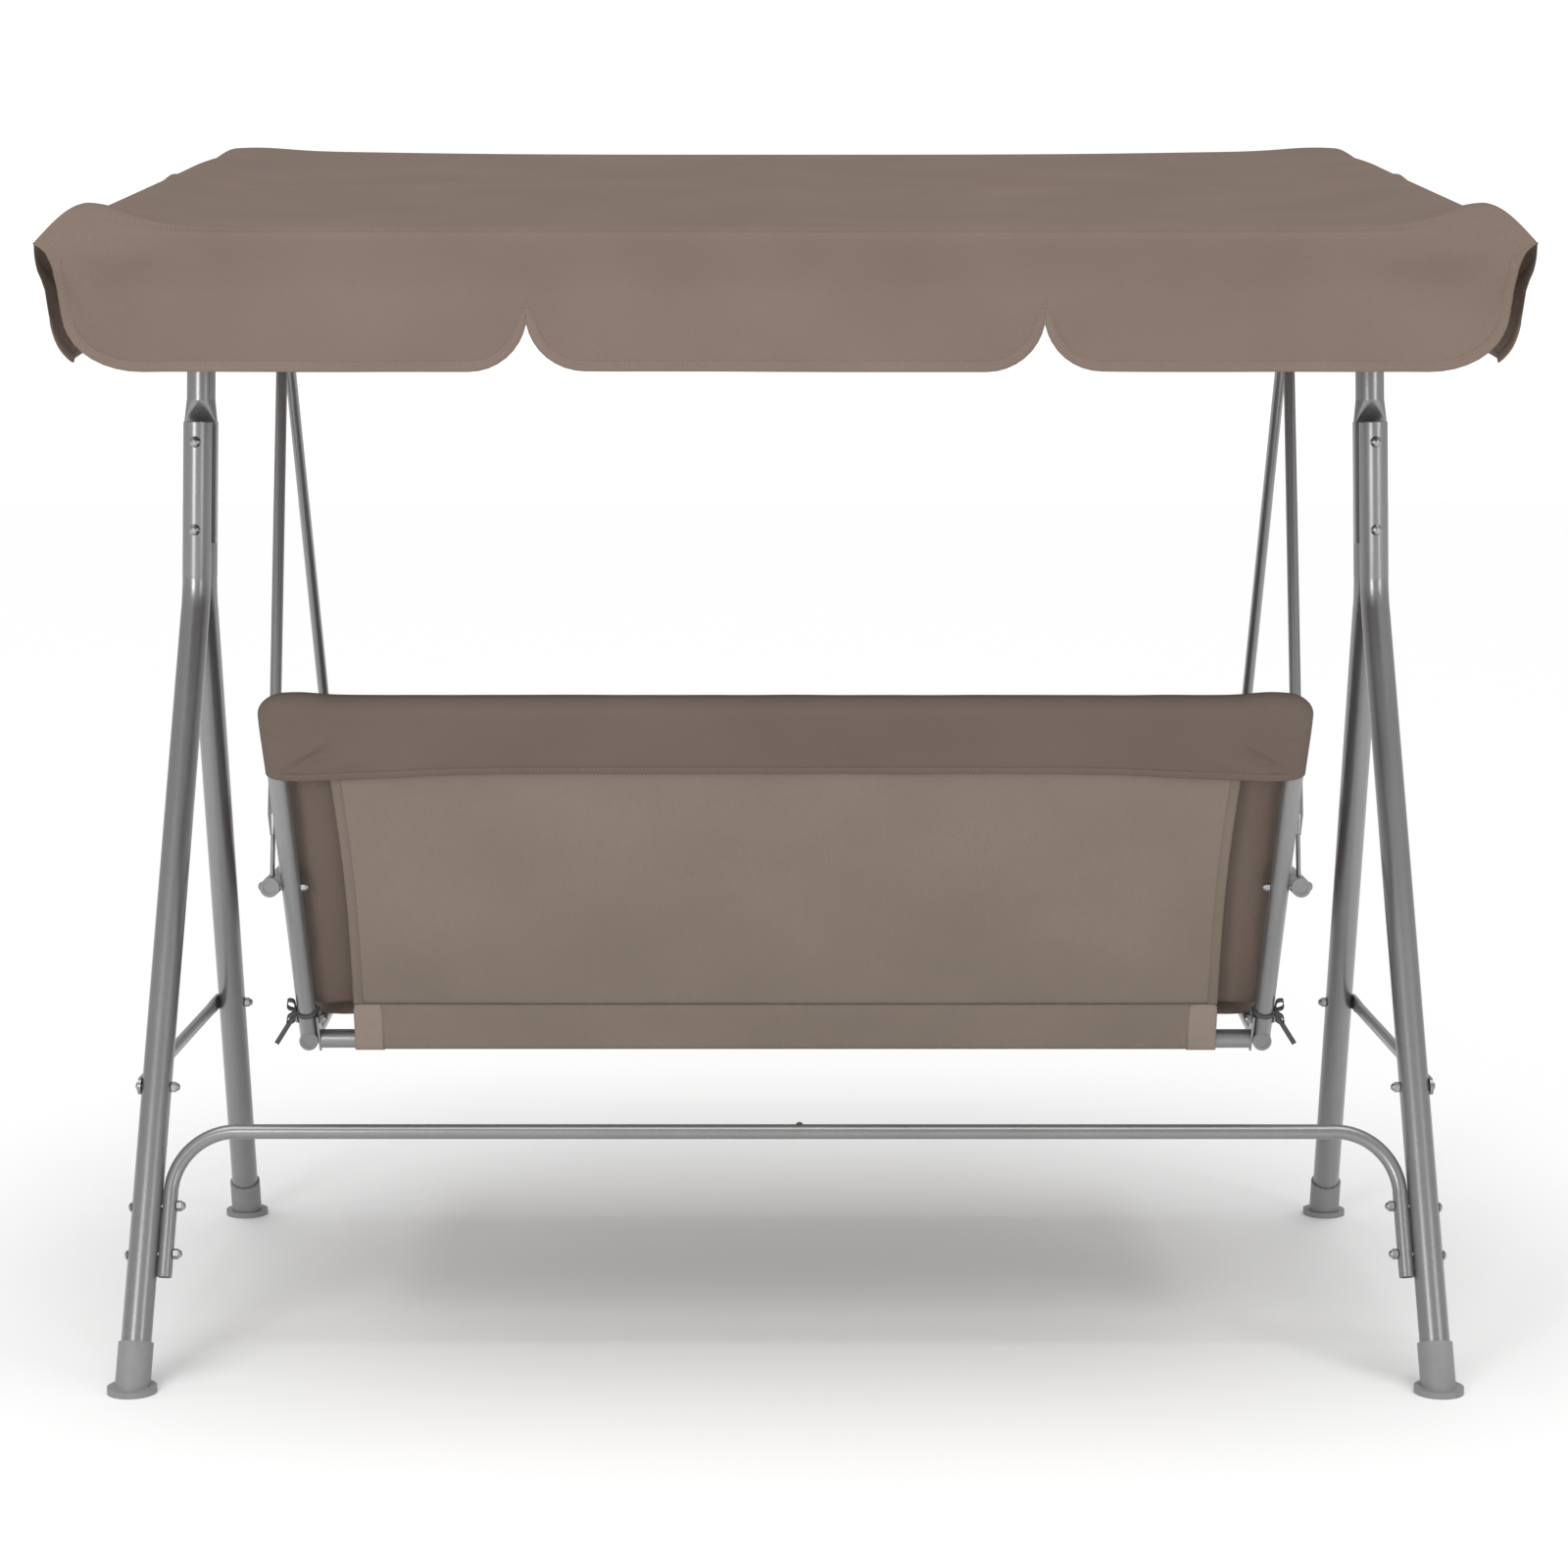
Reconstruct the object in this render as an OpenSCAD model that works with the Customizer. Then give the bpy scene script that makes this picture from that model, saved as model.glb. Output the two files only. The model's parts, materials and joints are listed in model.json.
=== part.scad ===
// Three-seat garden swing with a tilting fabric canopy.
// +X is the sitter's right, +Y is where the sitter faces, +Z is up.
// The origin is on the floor, midway between the four feet.

/* [Stand] */
// Distance from the middle of the stand to a foot, sideways
foot_x = 819; // [810:1:840]
// Distance from the middle of the stand to a foot, front to back
foot_y = 448; // [400:1:520]
// Distance along a leg pair from the floor to the leg tops
leg_top = 1204; // [1150:1:1230]
// Lean of each leg to the front or the back, in degrees
leg_lean = 23.5; // [21:0.5:26]
// Outer diameter of the legs and the top beam
leg_d = 38; // [34:0.5:40]
// Sideways lean of each pair of legs, in degrees
splay = 1.6; // [0.5:0.1:2]
// Height of the cross bar between the rear legs
crossbar_z = 303; // [260:1:360]
// Diameter of the cross bar
crossbar_d = 19; // [16:0.5:22]
// Height of the braces between a front and a rear leg
brace_z = 357; // [320:1:420]
// Height of the top beam's axis
beam_z = 1420; // [1410:1:1430]

/* [Swing seat] */
// Height of the pins that the hangers turn on
pivot_z = 1366; // [1350:1:1370]
// Half the distance between the two hangers, at the pins
hanger_x = 672; // [665:1:678]
// Diameter of a hanger rod
rod_d = 15; // [12:0.5:16]
// Height of the armrests' axes
arm_z = 613; // [580:1:650]
// Half the distance between the armrests
arm_x = 661.5; // [658:0.5:668]
// Diameter of the seat's tubes
seat_d = 25; // [22:0.5:26]
// Height of the seat's rear rail
seat_z = 386; // [370:1:410]
// Height of the top rail of the backrest
back_z = 859; // [820:1:890]
// Lean of the backrest from the vertical, in degrees
recline = 32.1; // [26:0.1:35]
// Half the width of the slings
sling_w = 573; // [500:1:590]
// Thickness of the seat cushion
seat_pad_t = 54; // [40:1:60]
// Thickness of the back cushion
back_pad_t = 50; // [40:1:70]

/* [Canopy] */
// Half the length of the canopy frame, side to side
canopy_x = 815; // [812:1:830]
// Half the depth of the canopy frame, along its slope
canopy_y = 566; // [480:1:600]
// Tilt of the canopy at rest, higher at the front, in degrees
canopy_tilt = 8.0; // [0:0.1:12]
// Diameter of the canopy's rails
canopy_d = 19; // [16:0.5:20]
// Height of the canopy's tilt bolts
tilt_z = 1472; // [1472:1:1490]
// Depth of the hanging edge of the canopy
valance = 150; // [130:1:180]

/* [Hidden] */

$fn = 48;
leg_wall = 1.4;
tube_wall = 1.2;
bend_thin = 0.2;        // a bend's wall thins by this on both faces
lap = 2;                // straight stretches run this far into a bend
fit = 0.2;              // gap between parts that are bolted or welded face to face
gap = 0.3;              // gap between a soft part and its neighbour
cloth_t = 2;

// Legs: each pair is drawn in its own plane and then leans inwards by the splay
flat_t = 12;            // thickness of the beam's flattened ends
leg_bend_r = 120;
leg_gap_y = leg_d / 2 + flat_t / 2;
leg_bend = (foot_y - leg_gap_y) / tan(leg_lean);  // distance from the floor to the bend
leg_tangent = leg_bend_r * tan(leg_lean / 2);
leg_run = (foot_y - leg_gap_y) / sin(leg_lean);
bolt_z = [leg_top - 26, leg_top - 143];

cap_h = 8;              // height of a foot cap's flange
cap_r = 31;
cap_floor = 6;          // thickness of rubber under the end of a leg
sleeve_wall = 3;
sleeve_len = 62;

brace_d = 16;
brace_plate = 4;        // thickness of a brace's flattened ends
brace_y = foot_y - (foot_y - leg_gap_y) * brace_z / leg_bend;

// Cross bar, in the plane of the rear legs: distances run up along that plane
rail_splay = round(splay * cos(leg_lean) * 10) / 10;
crossbar_w = crossbar_z / cos(leg_lean);
crossbar_r = 80;
crossbar_end = 132 / cos(leg_lean);
crossbar_bolts = [158 / cos(leg_lean), 214 / cos(leg_lean)];
crossbar_inset = leg_d / 2 + crossbar_d / 2 + fit;
crossbar_x = foot_x - tan(rail_splay) * crossbar_w - crossbar_inset / cos(rail_splay);
crossbar_tangent = crossbar_r * tan((90 - rail_splay) / 2);
crossbar_screw_x = 18;

// Top beam
beam_r = 80;
beam_x = foot_x - tan(splay) * beam_z;
beam_tangent = beam_r * tan((90 - splay) / 2);
beam_screws = [-45, 45];
squeeze = 30;           // length over which a beam end goes from round to flat

// Hanger pivots
ear_t = 3;
eye_t = 6;
ear_gap = eye_t + 1;
pin_d = 10;
pin_play = 0.1;         // the hanger's hole is this much wider than the pin
rod_start = 58;         // distance from the pin to the top of a rod
rod_taper = 26;
hook_y = [-252, 356];   // rear and front hook holes in an armrest
hook_d = 6;
hook_len = 52;

// Seat frame
post_x = arm_x - seat_d - 1.5;
seat_back_y = -124.5;
post_len = (back_z - seat_z) / cos(recline);
seat_rise = 4.5;        // upward slope of the seat towards its front, in degrees
seat_front_y = 472;
seat_len = (seat_front_y - seat_back_y) / cos(seat_rise);
seat_front_z = seat_z + (seat_front_y - seat_back_y) * tan(seat_rise);
corner_bolt = 36;       // distance from a cross rail's axis to the bolt of its bracket
corner_r = 55;          // axis radius of the backrest's top corners
corner_leg = 30;        // straight ends below those corners
arm_rear_y = -275;
arm_front_y = seat_front_y - corner_bolt * cos(seat_rise);
arm_bolt_z = seat_front_z - corner_bolt * sin(seat_rise);
arm_r = 62;
cap_over = 12;          // how far a side rail runs past the cross rails
rail_in = post_x - seat_d / 2 - 3.4;
plate_t = 3;

// Slings and cushions
sleeve_r = seat_d / 2 + gap;
pad_w = 1272;
back_pad_start = 40;      // from the rear rail's axis up the backrest
seat_pad_start = 46;      // from the rear rail's axis along the seat
pad_r = 40;
pad_below_rail = 18;    // the back cushion ends this far below the top rail's axis
hood_drop = 92;
hood_r = sleeve_r + cloth_t + gap;
hood_w = post_x + seat_d / 2 + 2.5;
tie_up = 54;            // height of the ties along the backrest posts

// Canopy
rail_up = 30;           // height of the rails' axes above the tilt bolts
elbow_r = 45;
elbow_leg = 15;
elbow_d = canopy_d + 3;
tilt_x = 600;
tilt_ear = 4;
knob_lobes = 5;
cloth_out = canopy_d / 2 + 3;  // how far the cloth stands outside the rails' axes
cloth_up = elbow_d / 2 + 0.4;  // and above them
flare = 12;             // outward lean of the side edges, in degrees
scallop_r = 66;
notch_x = 302;          // notches of the front and rear edges

leg_grey = [0.45, 0.45, 0.46];
tube_grey = [0.50, 0.50, 0.51];
steel = [0.72, 0.72, 0.74];
cap_grey = [0.36, 0.36, 0.37];
canopy_brown = [0.53, 0.47, 0.42];
sling_brown = [0.51, 0.46, 0.42];
cushion_brown = [0.43, 0.38, 0.34];

// ---------- shared shapes ----------

module ring(d, wall) {
    difference() {
        circle(d = d);
        circle(d = d - 2 * wall);
    }
}

// Straight tube along +Z
module tube(d, len, wall = tube_wall) {
    linear_extrude(len) ring(d, wall);
}

// Straight tube along +X, from one x to another
module tube_x(d, from, to, wall = tube_wall) {
    translate([from, 0, 0]) rotate([0, 90, 0]) tube(d, to - from, wall);
}

// Arc of tube in the XZ plane about the origin, from one angle to another above +X
module arc_xz(d, r, from, to, wall = tube_wall) {
    rotate([90, 0, 0]) rotate([0, 0, from])
        rotate_extrude(angle = to - from, $fn = 96) translate([r, 0]) ring(d, wall);
}

// Bent tube in the YZ plane: it leaves the origin along +Z and turns towards +Y
module bend(d, r, angle, wall = tube_wall) {
    translate([0, r, 0]) rotate([90, 0, -90])
        rotate_extrude(angle = angle, $fn = 96) translate([r, 0]) ring(d, wall);
}

// Round hole along X
module hole_x(d, len = 120) {
    rotate([0, 90, 0]) cylinder(d = d, h = len, center = true);
}

// Profile drawn with Y to the right and Z up, carried across the object
module across(half) {
    rotate([90, 0, 90]) translate([0, 0, -half]) linear_extrude(2 * half) children();
}

// s is -1 for the left and 1 for the right: the right side is drawn, the left mirrors it
module on_side(s) {
    mirror([s > 0 ? 0 : 1, 0, 0]) children();
}

module hex(w, h) {
    cylinder(d = w / cos(30), h = h, $fn = 6);
}

// Low domed head or end, standing on z = 0
module dome(d, h) {
    r = (h * h + d * d / 4) / (2 * h);
    intersection() {
        translate([0, 0, h - r]) sphere(r = r);
        cylinder(d = d, h = h);
    }
}

// Hexagon nut closed by a dome, bored for a bolt
module cap_nut(w, bolt) {
    difference() {
        union() {
            hex(w, w * 0.5);
            translate([0, 0, w * 0.5]) dome(w * 0.9, w * 0.42);
        }
        translate([0, 0, -1]) cylinder(d = bolt + 0.05, h = w * 0.5 + 3);
    }
}

// ---------- stand ----------

// Plane of one pair of legs, drawn on the right
module leg_plane(s) {
    on_side(s) translate([foot_x, 0, 0]) rotate([0, -splay, 0]) children();
}

// Plane through both rear legs: +X sideways, +Z up along the legs
module rear_plane() {
    translate([0, -foot_y, 0]) rotate([-leg_lean, 0, 0]) children();
}

// Tube in the shape of a leg, on the +Y side of its plane, built out from its bend's centre
module leg_tube() {
    upper = leg_bend + leg_tangent;
    translate([0, leg_gap_y + leg_bend_r, upper]) {
        translate([0, -leg_bend_r, -lap]) tube(leg_d, leg_top - upper + lap, leg_wall);
        translate([0, -leg_bend_r, 0]) mirror([0, 0, 1])
            bend(leg_d - 2 * bend_thin, leg_bend_r, leg_lean, leg_wall - 2 * bend_thin);
        rotate([leg_lean, 0, 0]) translate([0, -leg_bend_r, lap]) mirror([0, 0, 1])
            tube(leg_d, leg_run - leg_tangent + lap, leg_wall);
    }
}

// f is -1 for a rear leg and 1 for a front leg; the rear legs are also bored for the cross bar
module leg(s, f) {
    color(leg_grey) leg_plane(s) mirror([0, f > 0 ? 0 : 1, 0])
        difference() {
            leg_tube();
            translate([-leg_d, foot_y - 2 * leg_d, -2 * leg_d])
                cube([2 * leg_d, 4 * leg_d, 2 * leg_d + cap_floor + 1]);
            for (z = bolt_z)
                translate([0, 0, z]) rotate([-90, 0, 0]) cylinder(d = 8.4, h = 3 * leg_d);
            translate([0, brace_y, brace_z]) hole_x(6.4);
            if (f < 0)
                for (w = crossbar_bolts)
                    translate([0, foot_y - w * sin(leg_lean), w * cos(leg_lean)]) hole_x(7.6);
        }
}

// Foot cap: a sleeve in line with the leg on a flat round flange
module foot_cap(s, f) {
    color(cap_grey) on_side(s) translate([foot_x, f * foot_y, 0])
        difference() {
            union() {
                cylinder(r = cap_r, h = cap_h);
                above(0) leg_line(f) translate([0, 0, -20])
                    cylinder(d = leg_d + 2 * sleeve_wall, h = sleeve_len + 20);
            }
            above(cap_floor) leg_line(f) translate([0, 0, -20]) cylinder(d = leg_d, h = 120);
        }
}

module leg_line(f) {
    rotate([0, -splay, 0]) rotate([f * leg_lean, 0, 0]) children();
}

// Keeps only what lies above a height
module above(z) {
    intersection() {
        children();
        translate([-100, -100, z]) cube(200);
    }
}

// One flattened end of a brace
module brace_end() {
    hull() {
        translate([0, brace_y - 62, 0]) rotate([-90, 0, 0]) cylinder(d = brace_d, h = 1, $fn = 32);
        translate([-brace_plate / 2, brace_y - 30, -11]) cube([brace_plate, 1, 22]);
    }
    difference() {
        union() {
            translate([-brace_plate / 2, brace_y - 30, -11]) cube([brace_plate, 30, 22]);
            translate([0, brace_y, 0]) rotate([0, 90, 0])
                cylinder(d = 22, h = brace_plate, center = true);
        }
        translate([0, brace_y, 0]) hole_x(6.4, 3 * brace_plate);
    }
}

// Brace between the two legs of one side, on their outer faces
module side_brace(s) {
    color(leg_grey) leg_plane(s)
        translate([leg_d / 2 + brace_plate / 2 + fit, 0, brace_z]) {
            rotate([90, 0, 0]) cylinder(d = brace_d, h = 2 * brace_y - 124, center = true);
            brace_end();
            mirror([0, 1, 0]) brace_end();
        }
}

// Narrowed end of a tube along -X, which goes into the other half of the joint
module spigot(d, wall, len) {
    tube_x(d - wall, 0, 10, 2 * wall);
    tube_x(d - 2 * wall - fit, -len, 5, wall);
}

// Half of the cross bar: level, then bent down along the rear leg; the left has the spigot
module crossbar(s) {
    level = crossbar_x - crossbar_tangent;
    color(leg_grey) rear_plane() difference() {
        on_side(s) {
            translate([0, 0, crossbar_w]) tube_x(crossbar_d, s < 0 ? 0 : fit, level + lap);
            translate([level, 0, crossbar_w - crossbar_r]) {
                arc_xz(crossbar_d - 2 * bend_thin, crossbar_r, rail_splay, 90,
                    tube_wall - 2 * bend_thin);
                rotate([0, 180 - rail_splay, 0]) translate([-crossbar_r, 0, -lap])
                    tube(crossbar_d, (crossbar_w - crossbar_end) / cos(rail_splay)
                        - crossbar_tangent + lap);
            }
            if (s < 0) translate([0, 0, crossbar_w]) spigot(crossbar_d, tube_wall, 40);
        }
        translate([crossbar_screw_x, 0, crossbar_w]) cylinder(d = 4.2, h = crossbar_d);
        for (w = crossbar_bolts) at_crossbar_bolt(s, w) cylinder(d = 6.6, h = 60);
    }
}

// Place on a rear leg's axis, in the rear plane, with +Z towards the middle
module at_crossbar_bolt(s, w) {
    on_side(s) translate([foot_x - tan(rail_splay) * w, 0, w])
        rotate([0, -90 + rail_splay, 0]) children();
}

module at_brace_bolt(s, f) {
    leg_plane(s) translate([0, f * brace_y, brace_z]) rotate([0, -90, 0]) children();
}

// Distance down a beam end from its bend to a height on the legs
function beam_drop(z) = beam_z / cos(splay) - beam_tangent - z;

// Half of the top beam; its flattened end goes between the tops of the legs
module top_beam(s) {
    level = beam_x - beam_tangent;
    color(leg_grey) difference() {
        on_side(s) {
            translate([0, 0, beam_z]) tube_x(leg_d, s < 0 ? 0 : fit, level + lap, leg_wall);
            translate([level, 0, beam_z - beam_r]) {
                arc_xz(leg_d - 2 * bend_thin, beam_r, splay, 90, leg_wall - 2 * bend_thin);
                rotate([0, 180 - splay, 0]) translate([-beam_r, 0, 0]) beam_end();
            }
            if (s < 0) translate([0, 0, beam_z]) spigot(leg_d, leg_wall, 70);
        }
        for (x = beam_screws) translate([x, 0, beam_z]) cylinder(d = 5.2, h = leg_d);
    }
}

// Lower stretch of a beam half, along +Z: round, then squeezed flat and bored
module beam_end() {
    w = leg_d + 5;
    translate([0, 0, -lap]) tube(leg_d, beam_drop(leg_top + squeeze) + lap, leg_wall);
    hull() {
        translate([0, 0, beam_drop(leg_top + squeeze)]) cylinder(d = leg_d, h = 1, $fn = 32);
        translate([-w / 2, -flat_t / 2 + fit, beam_drop(leg_top)])
            cube([w, flat_t - 2 * fit, 1]);
    }
    difference() {
        translate([-w / 2, -flat_t / 2 + fit, beam_drop(leg_top)])
            cube([w, flat_t - 2 * fit, 162]);
        for (z = bolt_z)
            translate([0, 0, beam_drop(z)]) rotate([90, 0, 0])
                cylinder(d = 8.4, h = 3 * flat_t, center = true);
    }
}

module leg_bolts() {
    head_y = leg_gap_y + leg_d / 2;
    color(steel)
        for (s = [-1, 1], z = bolt_z)
            leg_plane(s) translate([0, -head_y, z]) rotate([-90, 0, 0]) {
                cylinder(d = 8, h = 2 * head_y + 12);
                mirror([0, 0, 1]) dome(15, 4.5);
            }
}

module leg_nuts() {
    color(steel)
        for (s = [-1, 1], z = bolt_z)
            leg_plane(s) translate([0, leg_gap_y + leg_d / 2 + fit, z]) rotate([-90, 0, 0])
                difference() {
                    union() {
                        cylinder(d = 17, h = 1.6);
                        translate([0, 0, 1.6]) hex(13, 6.5);
                    }
                    translate([0, 0, -1]) cylinder(d = 8.05, h = 12);
                }
}

// Bolts of the braces and the cross bar: heads outside, nuts inside
module tube_bolts() {
    brace_head = leg_d / 2 + brace_plate + 2 * fit;
    color(steel) {
        for (s = [-1, 1], f = [-1, 1])
            at_brace_bolt(s, f) translate([0, 0, -brace_head]) {
                cylinder(d = 6, h = brace_head + leg_d / 2 + 8);
                mirror([0, 0, 1]) dome(13, 4);
            }
        rear_plane()
            for (s = [-1, 1], w = crossbar_bolts)
                at_crossbar_bolt(s, w) translate([0, 0, -leg_d / 2 - 4 * fit]) {
                    cylinder(d = 6, h = leg_d + crossbar_d + 8 + 3 * fit);
                    mirror([0, 0, 1]) dome(13, 4);
                }
    }
}

module cap_nuts() {
    color(steel) {
        for (s = [-1, 1], f = [-1, 1])
            at_brace_bolt(s, f) translate([0, 0, leg_d / 2 + fit]) cap_nut(12, 6);
        rear_plane()
            for (s = [-1, 1], w = crossbar_bolts)
                at_crossbar_bolt(s, w)
                    translate([0, 0, leg_d / 2 + crossbar_d + 2 * fit]) cap_nut(12, 6);
    }
}

// Screws of the spigot joints in the middle of the cross bar and of the beam
module joint_screws() {
    color(steel) {
        rear_plane() translate([crossbar_screw_x, 0, crossbar_w + crossbar_d / 2]) {
            dome(9, 3.2);
            translate([0, 0, -5]) cylinder(d = 4, h = 5);
        }
        for (x = beam_screws)
            translate([x, 0, beam_z + leg_d / 2]) {
                dome(12, 4);
                translate([0, 0, -6]) cylinder(d = 5, h = 6);
            }
    }
}

// ---------- hanger pivots ----------

// Two ears under the beam for each hanger
module hanger_brackets() {
    color(leg_grey)
        for (s = [-1, 1], k = [-1, 1])
            translate([s * hanger_x + k * (ear_gap / 2 + ear_t / 2), 0, 0])
                difference() {
                    union() {
                        translate([0, 0, pivot_z]) hole_x(26, ear_t);
                        translate([-ear_t / 2, -13, pivot_z]) cube([ear_t, 26, beam_z - pivot_z]);
                    }
                    translate([0, 0, beam_z]) hole_x(leg_d + fit, 2 * ear_t);
                    translate([0, 0, pivot_z]) hole_x(pin_d, 2 * ear_t);
                }
}

module hanger_pins() {
    head = ear_gap / 2 + ear_t;
    color(steel)
        for (s = [-1, 1])
            translate([s * hanger_x, 0, pivot_z]) {
                hole_x(pin_d, 2 * head + 1);
                for (k = [-1, 1])
                    on_side(k) translate([head + fit, 0, 0]) rotate([0, 90, 0]) hex(16, 6);
            }
}

// ---------- swing seat ----------

// Hook i of the right side, just above the armrest, and the line to it from the pin
function hook_point(i) = [arm_x, hook_y[i], arm_z + seat_d / 2 + 1];
function rod_vector(i) = hook_point(i) - [hanger_x, 0, pivot_z];
function rod_len(i) = norm(rod_vector(i));
function rod_dir(i) = rod_vector(i) / rod_len(i);

// +Z runs from the pin down the line of rod i
module rod_line(s, i) {
    v = rod_dir(i);
    on_side(s) translate([hanger_x, 0, pivot_z])
        rotate([0, 0, atan2(v[1], v[0])]) rotate([0, acos(v[2]), 0]) children();
}

// Pressed plate that joins the two rods of one side and turns on the pin
module hanger_eye(s) {
    color(tube_grey) difference() {
        on_side(s) translate([hanger_x, 0, pivot_z]) {
            hole_x(24, eye_t);
            for (i = [0, 1])
                hull() {
                    rotate([0, 90, 0]) cylinder(d = 20, h = eye_t, center = true, $fn = 32);
                    translate(rod_dir(i) * rod_start) rotate([0, 90, 0])
                        cylinder(d = 15, h = eye_t, center = true, $fn = 32);
                }
        }
        translate([s * hanger_x, 0, pivot_z]) hole_x(pin_d + pin_play, 3 * eye_t);
        for (i = [0, 1])
            rod_line(s, i) translate([0, 0, rod_start]) cylinder(d = rod_d + 8, h = 20);
    }
}

// Hanger rod with tapered ends
module hanger_rod(s, i) {
    end = rod_len(i) - hook_len;
    color(tube_grey) rod_line(s, i) {
        translate([0, 0, rod_start + fit]) cylinder(d1 = 9, d2 = rod_d, h = rod_taper);
        translate([0, 0, rod_start + fit + rod_taper])
            cylinder(d = rod_d, h = end - rod_start - fit - 2 * rod_taper);
        translate([0, 0, end - rod_taper]) cylinder(d1 = rod_d, d2 = 8, h = rod_taper);
    }
}

// Hook wires from the rods down into the armrests
module hanger_hooks() {
    color(steel)
        for (s = [-1, 1], i = [0, 1]) {
            rod_line(s, i) translate([0, 0, rod_len(i) - hook_len + fit])
                cylinder(d = hook_d, h = hook_len - fit);
            on_side(s) translate(hook_point(i)) {
                sphere(d = hook_d + 1);
                translate([0, 0, -seat_d + 3]) cylinder(d = hook_d, h = seat_d - 3);
            }
        }
}

// Bent armrest tube: level, then down to the front of the seat
module armrest(s) {
    foot_z = arm_bolt_z - 16;
    color(tube_grey) on_side(s) translate([arm_x, 0, 0])
        difference() {
            union() {
                translate([0, arm_rear_y, arm_z]) rotate([-90, 0, 0])
                    tube(seat_d, arm_front_y - arm_r - arm_rear_y);
                translate([0, arm_front_y, arm_z - arm_r]) mirror([0, 1, 0]) bend(seat_d, arm_r, 90);
                translate([0, arm_front_y, foot_z]) tube(seat_d, arm_z - arm_r - foot_z);
            }
            for (y = hook_y)
                translate([0, y, arm_z + 2]) cylinder(d = hook_d + 0.8, h = seat_d);
            for (p = arm_bolts) translate([0, p[0], p[1]]) hole_x(6.2);
        }
}

// Where the armrests are bolted on: at the backrest posts and near the front rail
arm_bolts = [[seat_back_y - (arm_z - seat_z) * tan(recline), arm_z], [arm_front_y, arm_bolt_z]];

// Corner i of the seat's right side: 0 at the rear, +Z up the backrest; 1 at the front, +Z back
module seat_corner(s, i) {
    on_side(s)
        translate([post_x, i == 0 ? seat_back_y : seat_front_y, i == 0 ? seat_z : seat_front_z])
            rotate([i == 0 ? recline : 90 + seat_rise, 0, 0]) children();
}

// Places children on the backrest: +Z up along it, +Y towards the sitter
module on_back() {
    translate([0, seat_back_y, seat_z]) rotate([recline, 0, 0]) children();
}

// Places children on the seat: +Y forwards along it, +Z up
module on_seat() {
    translate([0, seat_back_y, seat_z]) rotate([seat_rise, 0, 0]) children();
}

// Side tube of the backrest; its lower end is cut to sit on the seat's side rail
module back_post(s) {
    color(tube_grey) difference() {
        seat_corner(s, 0) tube(seat_d, post_len - corner_r - corner_leg - fit);
        on_side(s) on_seat() translate([post_x, 0, 0]) rotate([90, 0, 0])
            cylinder(d = seat_d + 2 * fit, h = 120, center = true);
        on_side(s) translate([post_x, arm_bolts[0][0], arm_bolts[0][1]]) hole_x(6.2);
        seat_corner(s, 0) translate([0, 0, corner_bolt]) hole_x(6.2);
    }
}

// Seat side rail, from the rear corner to the front
module seat_side_rail(s) {
    color(tube_grey) difference() {
        on_side(s) on_seat() translate([post_x, -cap_over, 0]) rotate([-90, 0, 0])
            tube(seat_d, seat_len + 2 * cap_over);
        seat_corner(s, 1) translate([0, 0, corner_bolt]) hole_x(6.2);
    }
}

// Plastic plug in the open end of a tube, facing +Z
module plug() {
    translate([0, 0, -4]) cylinder(d = seat_d - 2 * tube_wall - fit, h = 4);
    difference() {
        cylinder(d = seat_d, h = 3);
        translate([0, 0, 2]) cylinder(d = seat_d - 8, h = 2);
    }
}

module tube_end_caps() {
    color(cap_grey)
        for (s = [-1, 1]) on_side(s) {
            translate([arm_x, arm_rear_y, arm_z]) rotate([90, 0, 0]) plug();
            on_seat() translate([post_x, 0, 0]) {
                translate([0, -cap_over, 0]) rotate([90, 0, 0]) plug();
                translate([0, seat_len + cap_over, 0]) rotate([-90, 0, 0]) plug();
            }
        }
}

// Top rail of the backrest with its two rounded corners
module back_top_rail() {
    color(tube_grey) on_back() {
        translate([0, 0, post_len])
            tube_x(seat_d, -post_x + corner_r, post_x - corner_r);
        for (s = [-1, 1])
            on_side(s) translate([post_x, 0, post_len - corner_r]) {
                translate([-corner_r, 0, 0]) arc_xz(seat_d, corner_r, 0, 90);
                translate([0, 0, -corner_leg]) tube(seat_d, corner_leg);
            }
    }
}

module seat_rear_rail() {
    color(tube_grey) translate([0, seat_back_y, seat_z]) tube_x(seat_d, -rail_in, rail_in);
}

module seat_front_rail() {
    color(tube_grey) translate([0, seat_front_y, seat_front_z]) tube_x(seat_d, -rail_in, rail_in);
}

// Plates at the ends of the seat's cross rails, bolted to the side tubes
module rail_brackets() {
    color(steel)
        for (s = [-1, 1], i = [0, 1])
            seat_corner(s, i) translate([-seat_d / 2 - fit - plate_t, 0, 0])
                difference() {
                    translate([0, -11, -12]) cube([plate_t, 22, corner_bolt + 24]);
                    translate([0, 0, corner_bolt]) hole_x(6.2);
                }
}

// Bolts of the armrests and the brackets: heads outside, nuts inside
module seat_bolts() {
    inner = seat_d / 2 + fit;
    arm_out = arm_x - post_x + seat_d / 2 + fit;
    color(steel)
        for (s = [-1, 1]) {
            on_side(s) translate([post_x, arm_bolts[0][0], arm_bolts[0][1]])
                seat_bolt(arm_out, inner);
            seat_corner(s, 1) translate([0, 0, corner_bolt]) seat_bolt(arm_out, inner + plate_t + fit);
            seat_corner(s, 0) translate([0, 0, corner_bolt]) seat_bolt(inner, inner + plate_t + fit);
        }
}

// Bolt along X with its head at +out and its cap nut at -in
module seat_bolt(out, in) {
    rotate([0, -90, 0]) {
        translate([0, 0, -out]) cylinder(d = 6, h = out + in + 6);
        translate([0, 0, -out]) mirror([0, 0, 1]) dome(12, 3.5);
        translate([0, 0, in]) cap_nut(11, 6);
    }
}

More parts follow.
